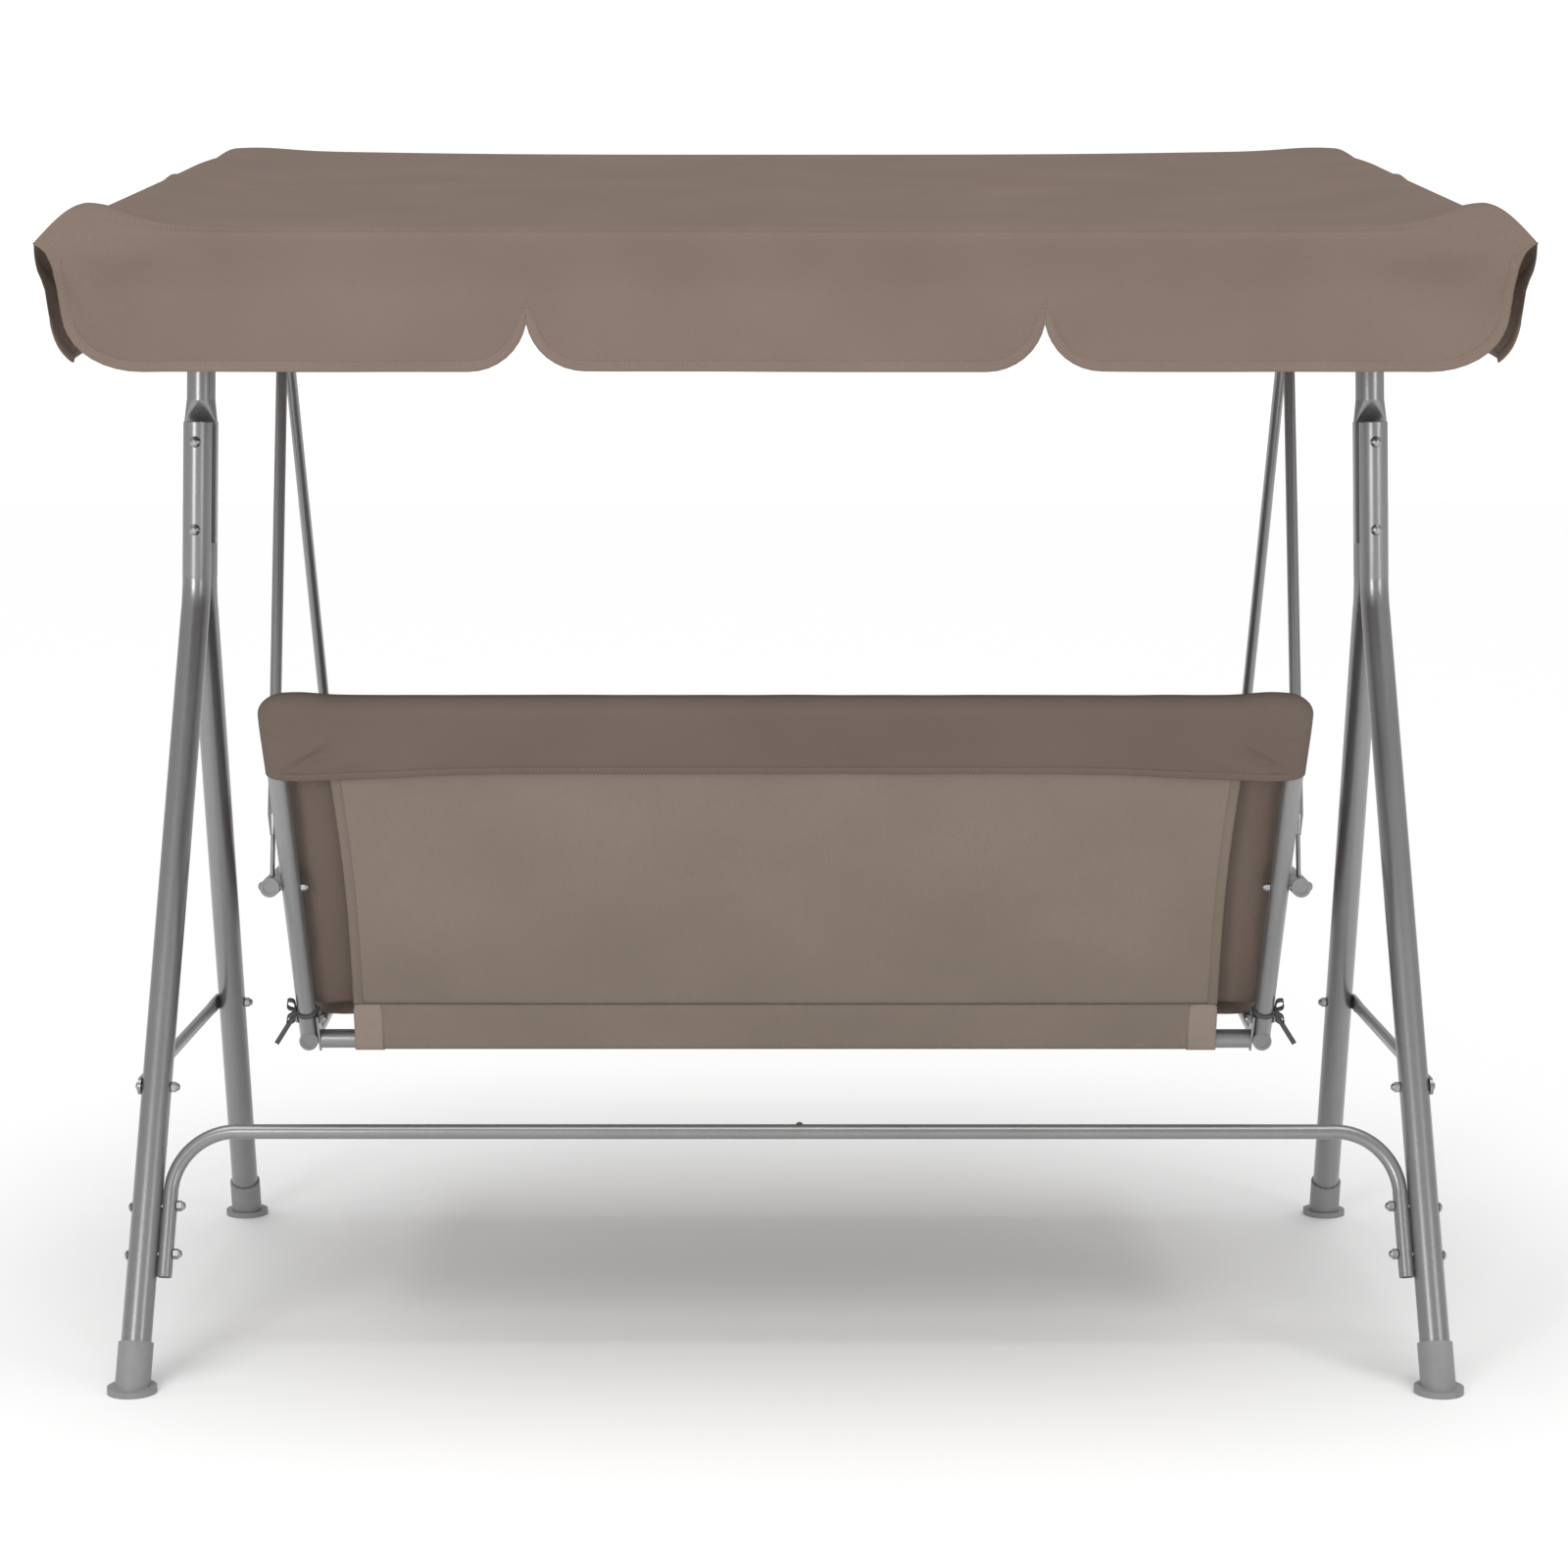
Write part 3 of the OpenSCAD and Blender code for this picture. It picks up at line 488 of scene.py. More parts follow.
class LineTree:
    """A Geometry Nodes tree that grows geometry along the edges of a mesh of lines."""

    def __init__(self, name: str) -> None:
        """Starts a tree with a geometry input and output."""
        self.group = bpy.data.node_groups.new(name, "GeometryNodeTree")
        for way in ("INPUT", "OUTPUT"):
            self.group.interface.new_socket("Geometry", in_out=way,
                                            socket_type="NodeSocketGeometry")
        self.entry = self.group.nodes.new("NodeGroupInput")
        self.exit = self.group.nodes.new("NodeGroupOutput")

    def size(self, name: str, value: float) -> bpy.types.NodeSocket:
        """Adds a named size to the tree's inputs."""
        made = self.group.interface.new_socket(name, in_out="INPUT", socket_type="NodeSocketFloat")
        made.default_value = value
        return self.entry.outputs[name]

    def finish(self) -> bpy.types.NodeSocket:
        """Adds the finish to the tree's inputs."""
        self.group.interface.new_socket("Finish", in_out="INPUT", socket_type="NodeSocketMaterial")
        return self.entry.outputs["Finish"]

    def node(self, kind: str, settings: dict | None = None, **inputs: object) -> bpy.types.Node:
        """Adds a node.

        Args:
            kind: The node's type.
            settings: Its properties, which are set first.
            inputs: Values or sockets, named with underscores for spaces.

        Returns:
            The new node.
        """
        made = self.group.nodes.new(kind)
        for key, value in (settings or {}).items():
            setattr(made, key, value)
        for key, value in inputs.items():
            socket = made.inputs[key.replace("_", " ")]
            if isinstance(value, bpy.types.NodeSocket):
                self.group.links.new(value, socket)
            else:
                socket.default_value = value
        return made

    def close(self, result: bpy.types.NodeSocket) -> bpy.types.NodeTree:
        """Realizes the result, gives it the finish and ends the tree."""
        real = self.node("GeometryNodeRealizeInstances", None, Geometry=result)
        dressed = self.node("GeometryNodeSetMaterial", None, Geometry=real.outputs[0],
                            Material=self.finish())
        self.group.links.new(dressed.outputs[0], self.exit.inputs[0])
        return self.group


def stitch_tree() -> bpy.types.NodeTree:
    """Tree that lays short threads end to end along lines."""
    tree = LineTree("stitches")
    pitch, length = tree.size("Pitch", 4 * MM), tree.size("Length", 3 * MM)
    thick = tree.size("Thread", 0.6 * MM)
    curve = tree.node("GeometryNodeMeshToCurve", None, Mesh=tree.entry.outputs[0])
    spaced = tree.node("GeometryNodeResampleCurve", {"mode": "LENGTH"}, Curve=curve.outputs[0],
                       Length=pitch)
    tangent = tree.node("GeometryNodeInputTangent")
    turned = tree.node("FunctionNodeAlignRotationToVector", {"axis": "Z"},
                       Vector=tangent.outputs[0])
    bead = tree.node("GeometryNodeMeshIcoSphere", None, Radius=0.5, Subdivisions=1)
    scale = tree.node("ShaderNodeCombineXYZ", None, X=thick, Y=thick, Z=length)
    placed = tree.node("GeometryNodeInstanceOnPoints", None, Points=spaced.outputs[0],
                       Instance=bead.outputs[0], Rotation=turned.outputs[0], Scale=scale.outputs[0])
    return tree.close(placed.outputs[0])


def cord_tree() -> bpy.types.NodeTree:
    """Tree that runs a round piping along lines."""
    tree = LineTree("piping")
    radius = tree.size("Radius", 3 * MM)
    curve = tree.node("GeometryNodeMeshToCurve", None, Mesh=tree.entry.outputs[0])
    circle = tree.node("GeometryNodeCurvePrimitiveCircle", None, Resolution=8, Radius=radius)
    swept = tree.node("GeometryNodeCurveToMesh", None, Curve=curve.outputs[0],
                      Profile_Curve=circle.outputs[0])
    soft = tree.node("GeometryNodeSetShadeSmooth", None, Geometry=swept.outputs[0])
    return tree.close(soft.outputs[0])


def grow(name: str, group: bpy.types.NodeTree, lines: Sequence[Line], loop: bool,
         finish: bpy.types.Material, **sizes: float) -> bpy.types.Object:
    """Runs a tree along lines and keeps the result as a plain mesh.

    Args:
        name: The new piece's name.
        group: The Geometry Nodes tree.
        lines: Polylines for the tree to follow.
        loop: Whether each line closes on itself.
        finish: The material.
        sizes: The tree's named sizes.

    Returns:
        The new object.
    """
    points, edges = [], []
    for line in lines:
        first = len(points)
        points += line
        edges += [(first + i, first + i + 1) for i in range(len(line) - 1)]
        if loop:
            edges.append((first + len(line) - 1, first))
    path = bpy.data.meshes.new(name + "_path")
    path.from_pydata(points, edges, [])
    carrier = new_object(name + "_path", path)
    grown = carrier.modifiers.new("grow", "NODES")
    grown.node_group = group
    sockets = {s.name: s.identifier for s in group.interface.items_tree if s.in_out == "INPUT"}
    for key, value in {**sizes, "Finish": finish}.items():
        grown[sockets[key]] = value
    carrier.update_tag()
    graph = bpy.context.evaluated_depsgraph_get()
    mesh = bpy.data.meshes.new_from_object(carrier.evaluated_get(graph))
    bpy.data.objects.remove(carrier)
    mesh.name = name
    return new_object(name, mesh)


def settle(piece: bpy.types.Object, body: str, finish: bpy.types.Material | None = None,
           stands_for: Sequence[str] = ()) -> bpy.types.Object:
    """Gives a piece its finish and body, and hides what it stands for.

    Args:
        piece: The piece.
        body: The CAD body that it moves with.
        finish: Its material, unless it has one.
        stands_for: CAD nodes that it replaces.

    Returns:
        The piece.
    """
    if finish is not None:
        piece.data.materials.clear()
        piece.data.materials.append(finish)
    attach(piece, body)
    if stands_for:
        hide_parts(*stands_for)
    LOG.info("%s: %d faces, on %s", piece.name, len(piece.data.polygons), body)
    return piece


# ---------- canopy ----------


class Edge(Enum):
    """One of the canopy's four edges: its outward direction in the canopy's plane."""

    REAR = (0, -1)
    FRONT = (0, 1)
    LEFT = (-1, 0)
    RIGHT = (1, 0)


@dataclass
class CanopyCover:
    """Fabric cover of the canopy: one skin over the rails with four scalloped hanging edges."""

    finishes: Finishes
    depth: float = 0.150
    scallop: float = 0.068
    notch: float = 0.302
    wrap: float = 13.0 * MM
    sag: float = 9.0 * MM
    tip_out: float = 0.051
    tip_reach: float = 0.095
    rear_lift: float = 0.024
    front_lift: float = 0.005
    tape: float = 11.0 * MM
    half_x: float = field(init=False)
    half_y: float = field(init=False)
    plane: Plane = field(init=False)

    def __post_init__(self) -> None:
        """Reads the canopy's rails from the frame."""
        rear, front = centre_of("canopy_rear_rail"), centre_of("canopy_front_rail")
        run = front - rear
        self.half_x = centre_of("canopy_side_rail_right").x
        self.half_y = run.length / 2
        along = run.normalized()
        self.plane = Plane((rear + front) / 2, along, ACROSS.cross(along))

    def half(self, edge: Edge) -> float:
        """Half the length of an edge, between the side rails' axes."""
        return self.half_x if edge.value[0] == 0 else self.half_y

    def notches(self, edge: Edge) -> list[float]:
        """Ends of the scallops along an edge."""
        half = self.half(edge)
        inner = [-self.notch, self.notch] if edge.value[0] == 0 else [0.0]
        return [-half, *inner, half]

    def outline(self, edge: Edge) -> list[tuple[float, float]]:
        """Places along an edge and the drop of the cloth's rim there."""
        points = []
        ends = self.notches(edge)
        turns = [math.radians(a) for a in (0, 12, 21, 30, 40, 50, 60, 70, 80, 90)]
        for a, b in zip(ends, ends[1:]):
            arc = [(self.scallop * (1 - math.cos(t)), self.depth - self.scallop * (1 - math.sin(t)))
                   for t in turns]
            inner = b - a - 2 * self.scallop
            count = max(round(inner / 0.022), 2)
            flat = [(self.scallop + inner * i / count, self.depth) for i in range(1, count)]
            full = arc + flat + [(b - a - x, d) for x, d in reversed(arc)]
            points += [(a + x, d) for x, d in full[(1 if points else 0):]]
        return points

    def lift(self, x: float, y: float) -> float:
        """How far the cloth stands above the rails' plane at a place of the roof."""
        inward = 0.0 if y < 0 else 0.028
        side = self.half_x - abs(x)
        corner = math.hypot(side - inward, self.half_y - abs(y))
        height = self.rear_lift - 0.009 if y < 0 else self.front_lift
        up = height * math.exp(-((corner / 0.062) ** 2))
        up += 0.013 * math.exp(-((side / 0.075) ** 2)) * smooth_step(0.62 - y, 0.0, 0.45)
        up += 0.003 * bump(y, 0.0, 0.03) * math.exp(-((side / 0.09) ** 2))
        up += (0.005 if y > 0 else 0.0) * math.exp(-((corner / 0.28) ** 2))
        return up

    def tip(self, drop: float) -> tuple[float, float]:
        """How far a free corner stands out, along the edge and outwards, at a drop."""
        along = 0.031 + (self.tip_out - 0.031) * math.exp(-drop / 0.010) - 0.10 * drop
        out = self.tip_out + 0.006 * math.sin(min(drop / 0.05, 1.0) * math.pi) - 0.11 * drop
        return along, out

    def near(self, edge: Edge, x: float) -> float:
        """Share of the corner's shape at a place along an edge."""
        half = self.half(edge)
        return smooth_step(abs(x), half - self.tip_reach, half)

    def crest(self, edge: Edge, x: float, t: float) -> Vector:
        """Point of the turn from the roof, at t = 0, to the hanging edge, at t = 1."""
        near = self.near(edge, x)
        right, forward = edge.value
        across, along = (x, forward * self.half_y) if forward else (right * self.half_x, x)
        angle = t * math.pi / 2
        fold = self.wrap - 2.9 * MM * bump(t, 0.40, 0.10)
        reach = fold * math.sin(angle) * (1 - near) + self.tip_out * t * near
        up = fold * math.cos(angle)
        slope = (1 - t) ** 0.9 * (self.wrap + 0.004 * math.sin(math.pi * t))
        up = up * (1 - near) + slope * near + self.lift(across, along) * (1 - t ** 1.6)
        slid = x + math.copysign(self.tip_out * t * near, x)
        return self.from_edge(edge, slid, reach, up)

    def hang(self, edge: Edge, x: float, drop: float) -> Vector:
        """Point of a hanging edge.

        Args:
            edge: Which edge.
            x: Place along it.
            drop: Distance down from the rail's height.

        Returns:
            The point in the frame.
        """
        half = self.half(edge)
        near = self.near(edge, x)
        side = math.copysign(1.0, x)
        along, corner_out = self.tip(drop)
        share = drop / self.depth
        rise = 0.0
        seed = 3.0 * edge.value[0] + 7.0 * edge.value[1]
        middle = 1 - near
        lean = 0.20 if edge.value[0] else 0.045
        out = drop * lean * middle * 0.9
        out -= 9.5 * MM * math.sin(math.pi * min(drop / 0.065, 1.0)) ** 1.3 * middle
        waves = 6.0 * rough(x, 0.3 * drop, 0.34, seed) + 2.2 * rough(x, drop, 0.11, seed + 5)
        out += waves * MM * share ** 1.3 * (1 - 0.6 * near)
        for place in self.notches(edge)[1:-1]:
            out += 5.0 * MM * bump(x, place, 0.035) * smooth_step(drop, 0.03, 0.10)
            out -= 3.0 * MM * bump(x, place + 0.05, 0.03) * smooth_step(drop, 0.05, 0.14)
        for k in (-1, 1):
            away = half - k * x
            out += 3.6 * MM * crease(away, drop, (0.02, 0.012), (0.15, 0.030), 0.010) * middle
            out -= 3.0 * MM * crease(away, drop, (0.03, 0.050), (0.10, 0.085), 0.012) * middle
            out += 2.4 * MM * crease(away, drop, (0.015, 0.080), (0.06, 0.125), 0.010) * middle
            for far, deep, height in ((0.120, 0.020, 4.4), (0.105, 0.058, -4.0),
                                      (0.070, 0.094, 4.2), (0.036, 0.122, -3.6)):
                rise += height * MM * crease(away, drop, (0.004, 0.010), (far, deep), 0.0065)
        out = (self.wrap + out) * middle + corner_out * near + rise
        return self.from_edge(edge, x + side * along * near, out, 0.0) - UP * drop

    def from_edge(self, edge: Edge, x: float, out: float, up: float) -> Vector:
        """Point given along an edge, outwards from its rail's axis, and above it."""
        right, forward = edge.value
        if forward:
            return self.plane.at(x, forward * (self.half_y + out), up)
        return self.plane.at(right * (self.half_x + out), x, up)

    def roof(self, x: float, y: float) -> Vector:
        """Point of the top skin, which sags between the rails and is drawn up over them."""
        across = 1 - abs(x / self.half_x) ** 5
        bay = abs(y) / self.half_y
        dip = 4 * bay * (1 - bay)
        edge = min(self.half_x - abs(x), self.half_y - abs(y))
        inside = smooth_step(edge, 0.0, 0.06)
        up = self.wrap - self.sag * dip * across + self.lift(x, y)
        up += (2.4 * bump(y, 0.0, 0.009) - 2.4 * bump(y, 0.0, 0.12)) * MM * inside
        up += (1.8 * rough(x, y, 0.30, 2.0) + 0.7 * rough(x, 2 * y, 0.09, 4.0)) * MM * inside
        for kx in (-1, 1):
            for ky in (-1, 1):
                away, far = self.half_x - kx * x, self.half_y - ky * y
                up += 2.2 * MM * crease(away, far, (0.015, 0.03), (0.10, 0.13), 0.014) * inside
                up -= 1.8 * MM * crease(away, far, (0.04, 0.02), (0.17, 0.07), 0.012) * inside
        return self.plane.at(x, y, up)

    def strip(self, edge: Edge) -> tuple[Rows, Rows]:
        """Rows of points and cloth coordinates of one hanging edge, from the roof's rim down."""
        columns = self.outline(edge)
        rows, uv = [], []
        turns = 10
        for k in range(turns):
            t = k / turns
            rows.append([self.crest(edge, x, t) for x, _ in columns])
            uv.append([self.flat(edge, x, self.wrap * math.pi / 2 * t) for x, _ in columns])
        steps = 16
        wrapped = self.wrap * math.pi / 2
        for k in range(steps + 1):
            share = (k / steps) ** 0.92
            rows.append([self.hang(edge, x, d * share) for x, d in columns])
            uv.append([self.flat(edge, x, wrapped + d * share) for x, d in columns])
        return rows, uv

    def flat(self, edge: Edge, x: float, run: float) -> Vector:
        """Cloth coordinates of a place on a hanging edge, run being counted from the roof's rim."""
        right, forward = edge.value
        if forward:
            return Vector((x, forward * (self.half_y + run), 0))
        return Vector((right * (self.half_x + run), x, 0))

    def cover(self) -> bpy.types.Object:
        """Builds the skin: the roof and its four hanging edges, welded at the rims and corners."""
        sheet = SheetBuilder()
        xs = [x for x, _ in self.outline(Edge.REAR)]
        ys = [y for y, _ in self.outline(Edge.LEFT)]
        sheet.grid([[self.roof(x, y) for x in xs] for y in ys],
                   [[Vector((x, y, 0)) for x in xs] for y in ys])
        for edge in Edge:
            rows, uv = self.strip(edge)
            sheet.grid(rows, uv)
        made = sheet.finish("canopy_cover", thickness=1.1 * MM, levels=1)
        settle(made, "canopy", self.finishes.canopy,
               ["canopy_top", "canopy_valance_rear", "canopy_valance_front",
                "canopy_valance_left", "canopy_valance_right"])
        return made

    def inset(self, edge: Edge, distance: float) -> list[tuple[float, float]]:
        """The rim's outline moved into the cloth by a distance."""
        rim = self.outline(edge)
        moved = []
        for i, (x, drop) in enumerate(rim):
            before, after = rim[max(i - 1, 0)], rim[min(i + 1, len(rim) - 1)]
            run = Vector((after[0] - before[0], after[1] - before[1]))
            at_notch = any(abs(x - n) < 1e-6 for n in self.notches(edge)[1:-1])
            inward = Vector((0, -1)) if at_notch else Vector((run.y, -run.x)).normalized()
            if i in (0, len(rim) - 1):
                inward = Vector((math.copysign(1.0, -x), 0))
            moved.append((x + inward.x * distance, drop + inward.y * distance))
        return moved

    def rim(self, edge: Edge) -> tuple[list[tuple[float, float]], list[tuple[float, float]]]:
        """The rim's outline and the line inside it, both continued up the free corners."""
        outer, inner = self.outline(edge), self.inset(edge, self.tape)
        half = self.half(edge)
        climb = [outer[0][1] * (i / 8) ** 1.3 for i in range(8)]
        left = [(-half, d) for d in climb]
        right = [(half, d) for d in reversed(climb)]
        shift = self.tape
        return (left + outer + right,
                [(x + shift, d) for x, d in left] + inner + [(x - shift, d) for x, d in right])

    def binding(self) -> bpy.types.Object:
        """Tape folded over the rim of all four edges."""
        sheet = SheetBuilder()
        for edge in Edge:
            outer, inner = self.rim(edge)
            faces = []
            for (xo, do), (xi, di) in zip(outer, inner):
                rim, inside = self.hang(edge, xo, do), self.hang(edge, xi, di)
                run = self.hang(edge, xi + 2 * MM, di) - self.hang(edge, xi - 2 * MM, di)
                normal = run.cross(rim - inside)
                if normal.length < 1e-9:
                    normal = Vector((*edge.value, 0))
                normal.normalize()
                if normal.dot(self.plane.at(*edge.value, 0) - self.plane.origin) < 0:
                    normal.negate()
                lip = (rim - inside).normalized()
                thick = 1.35 * MM
                faces.append([inside + normal * 0.4 * MM, inside.lerp(rim, 0.12) + normal * thick,
                              rim + normal * thick, rim + lip * 1.4 * MM, rim - normal * thick,
                              inside.lerp(rim, 0.12) - normal * thick, inside - normal * 0.4 * MM])
            rows = [list(column) for column in zip(*faces)]
            lengths = [0.0]
            for a, b in zip(faces, faces[1:]):
                lengths.append(lengths[-1] + (b[0] - a[0]).length)
            uv = [[Vector((s, 4 * MM * i, 0)) for s in lengths] for i in range(len(rows))]
            sheet.grid(rows, uv, closed=True)
        made = sheet.finish("canopy_binding")
        return settle(made, "canopy", self.finishes.binding)

    def stitching(self, tree: bpy.types.NodeTree) -> bpy.types.Object:
        """Stitches along the tape and across the roof, over the rails."""
        lines = []
        for edge in Edge:
            outer, inner = self.rim(edge)
            line = []
            for (xo, do), (xi, di) in zip(outer, inner):
                x, drop = xi + (xo - xi) * 0.22, di + (do - di) * 0.22
                outward = self.plane.at(*edge.value, 0) - self.plane.origin
                line.append(self.hang(edge, x, drop) + outward.normalized() * 1.7 * MM)
            lines.append(line)
        for edge in Edge:
            reach = self.half(edge) - 0.06
            lines.append([self.crest(edge, -reach + 2 * reach * i / 90, 0.26)
                          + self.plane.out * 0.9 * MM for i in range(91)])
        for y in (-13 * MM, 13 * MM):
            reach = self.half_x - 0.02
            lines.append([self.roof(-reach + 2 * reach * i / 80, y) + self.plane.out * 0.8 * MM
                          for i in range(81)])
        made = grow("canopy_stitches", tree, lines, False, self.finishes.thread,
                    Pitch=5.2 * MM, Length=3.6 * MM, Thread=0.8 * MM)
        return settle(made, "canopy")

    def build(self, stitches: bpy.types.NodeTree) -> None:
        cover = self.cover()
        tape = self.binding()
        seams = self.stitching(stitches)


# ---------- slings ----------


@dataclass
class Sling:
    """Mesh cloth stretched between two rails, with a sleeve round each rail that it holds."""

    name: str
    node: str
    plane: Plane
    length: float
    finishes: Finishes
    rail_r: float
    low_sleeve: bool
    lift: float = 0.0
    half_w: float = 0.573
    waist: float = 7.0 * MM
    seam: float = 64.0 * MM
    hem: float = 13.0 * MM
    ease: float = 2.5 * MM

    def sleeve(self, centre: float, side: int) -> list[tuple[float, float]]:
        """Section of a sleeve round a rail.

        Args:
            centre: The rail's place along the plane.
            side: 1 for a rail at the low end, -1 at the high end.

        Returns:
            Points from the seam, round the back of the rail, to the seam again.
        """
        r = self.rail_r + 1.5 * MM
        seam, middle = centre + side * self.seam, centre + side * self.seam * 0.66
        points = [(seam, -1.2 * MM), (middle, -4.0 * MM)]
        for angle in range(30, 331, 20):
            a = math.radians(angle)
            points.append((centre + side * r * math.cos(a), -r * math.sin(a)))
        return points + [(middle, 4.0 * MM), (seam, 0.2 * MM)]

    def section(self) -> list[tuple[float, float]]:
        """The whole section of the sling, from end to end of the cloth."""
        points: list[tuple[float, float]] = []
        start = 0.0
        if self.low_sleeve:
            points += self.sleeve(0.0, 1)
            start = self.seam
        else:
            start = self.rail_r + 6 * MM
            points.append((start, self.lift))
        end = self.length - self.seam
        count = 26
        points += [(start + (end - start) * i / count, self.lift) for i in range(1, count)]
        return points + self.sleeve(self.length, -1)[::-1]

    def half_at(self, along: float) -> float:
        """Half the width of the cloth, which is drawn in between the rails."""
        share = min(max(along / self.length, 0.0), 1.0)
        return self.half_w - self.waist * math.sin(math.pi * share) ** 1.5

    def out_at(self, x: float, along: float) -> float:
        """How far the stretched cloth gives under the cushion."""
        share = min(max(along / self.length, 0.0), 1.0)
        across = 1 - abs(x / self.half_w) ** 4
        give = -self.ease * math.sin(math.pi * share) * across
        return give + 0.5 * MM * rough(x, along, 0.16, 3.0) * math.sin(math.pi * share)

    def point(self, share: float, along: float, out: float) -> Vector:
        """Point of the cloth, share running from -1 to 1 across it."""
        x = share * self.half_at(along)
        return self.plane.at(x, along, out + self.out_at(x, along))

    def cloth(self) -> bpy.types.Object:
        """Builds the sheet with its sleeves."""
        sheet = SheetBuilder()
        section = self.section()
        shares = [-1 + 2 * i / 70 for i in range(71)]
        runs = [0.0]
        for a, b in zip(section, section[1:]):
            runs.append(runs[-1] + math.hypot(b[0] - a[0], b[1] - a[1]))
        rows = [[self.point(s, along, out) for s in shares] for along, out in section]
        uv = [[Vector((s * self.half_w, run, 0)) for s in shares] for run in runs]
        sheet.grid(rows, uv)
        made = sheet.finish(self.name, thickness=1.0 * MM, levels=1)
        return settle(made, "seat", self.finishes.sling, [self.node])

    def hems(self) -> bpy.types.Object:
        """Doubled cloth down both sides, on both faces of the sheet."""
        sheet = SheetBuilder()
        start = self.seam if self.low_sleeve else self.rail_r + 8 * MM
        end = self.length - self.seam
        for side in (-1, 1):
            rows, uv = [], []
            for i in range(31):
                along = start + (end - start) * i / 30
                edge = self.half_at(along)
                row = []
                for inset, level in ((self.hem, 0.3), (self.hem - 1.5 * MM, 1.3), (1 * MM, 1.4),
                                     (-0.8 * MM, 0.0), (1 * MM, -1.4), (self.hem - 1.5 * MM, -1.3),
                                     (self.hem, -0.3)):
                    x = side * (edge - inset)
                    out = self.lift + self.out_at(x, along) - level * MM
                    row.append(self.plane.at(x, along, out))
                rows.append(row)
                uv.append([Vector((0.004 * k, along, 0)) for k in range(7)])
            sheet.loop(rows, uv)
        made = sheet.finish(self.name + "_hems")
        return settle(made, "seat", self.finishes.sling_hem)

    def seam_lines(self) -> list[Line]:
        """Lines of stitches: two across at each sleeve and one down each hem, on the rear face."""
        lines = []
        shares = [-1 + 2 * i / 60 for i in range(61)]
        places = [self.length - self.seam + 4 * MM, self.length - self.seam]
        if self.low_sleeve:
            places += [self.seam - 4 * MM, self.seam]
        for place in places:
            lines.append([self.point(s * 0.99, place, self.lift - 2.2 * MM) for s in shares])
        start = self.seam if self.low_sleeve else 0.03
        for side in (-1, 1):
            line = []
            for i in range(41):
                along = start + (self.length - self.seam - start) * i / 40
                x = side * (self.half_at(along) - self.hem + 3 * MM)
                line.append(self.plane.at(x, along, self.lift + self.out_at(x, along) - 1.7 * MM))
            lines.append(line)
        return lines

    def patches(self, width: float = 38.0 * MM) -> bpy.types.Object:
        """Lighter reinforcing patches round both ends of the low sleeve."""
        sheet = SheetBuilder()
        section = self.sleeve(0.0, 1)
        for side in (-1, 1):
            rows, uv = [], []
            for k, (along, out) in enumerate(section):
                span = math.hypot(along, out)
                grown = 1 + 1.3 * MM / max(span, 1 * MM)
                near_seam = k in (0, len(section) - 1)
                offset = (-1.1 * MM if k < len(section) / 2 else 1.1 * MM) if near_seam else 0.0
                edge = self.half_at(along)
                row = []
                for i in range(7):
                    x = side * (edge + 0.6 * MM - width * i / 6)
                    scale = 1 if near_seam else grown
                    row.append(self.plane.at(x, along * scale, out * scale + offset))
                rows.append(row)
                uv.append([Vector((width * i / 6, 4 * MM * k, 0)) for i in range(7)])
            sheet.grid(rows, uv, flip=side > 0)
        made = sheet.finish(self.name + "_patches", thickness=0.8 * MM, levels=1)
        return settle(made, "seat", self.finishes.patch)

    def build(self) -> list[Line]:
        cloth = self.cloth()
        extra = [self.hems()]
        if self.low_sleeve:
            extra.append(self.patches())
        sleeves = 2 if self.low_sleeve else 1
        around = 2 * math.pi * self.rail_r
        flat_length = self.length + sleeves * (self.seam + around / 2)
        2 * self.half_w
        return self.seam_lines()


# ---------- cushions ----------


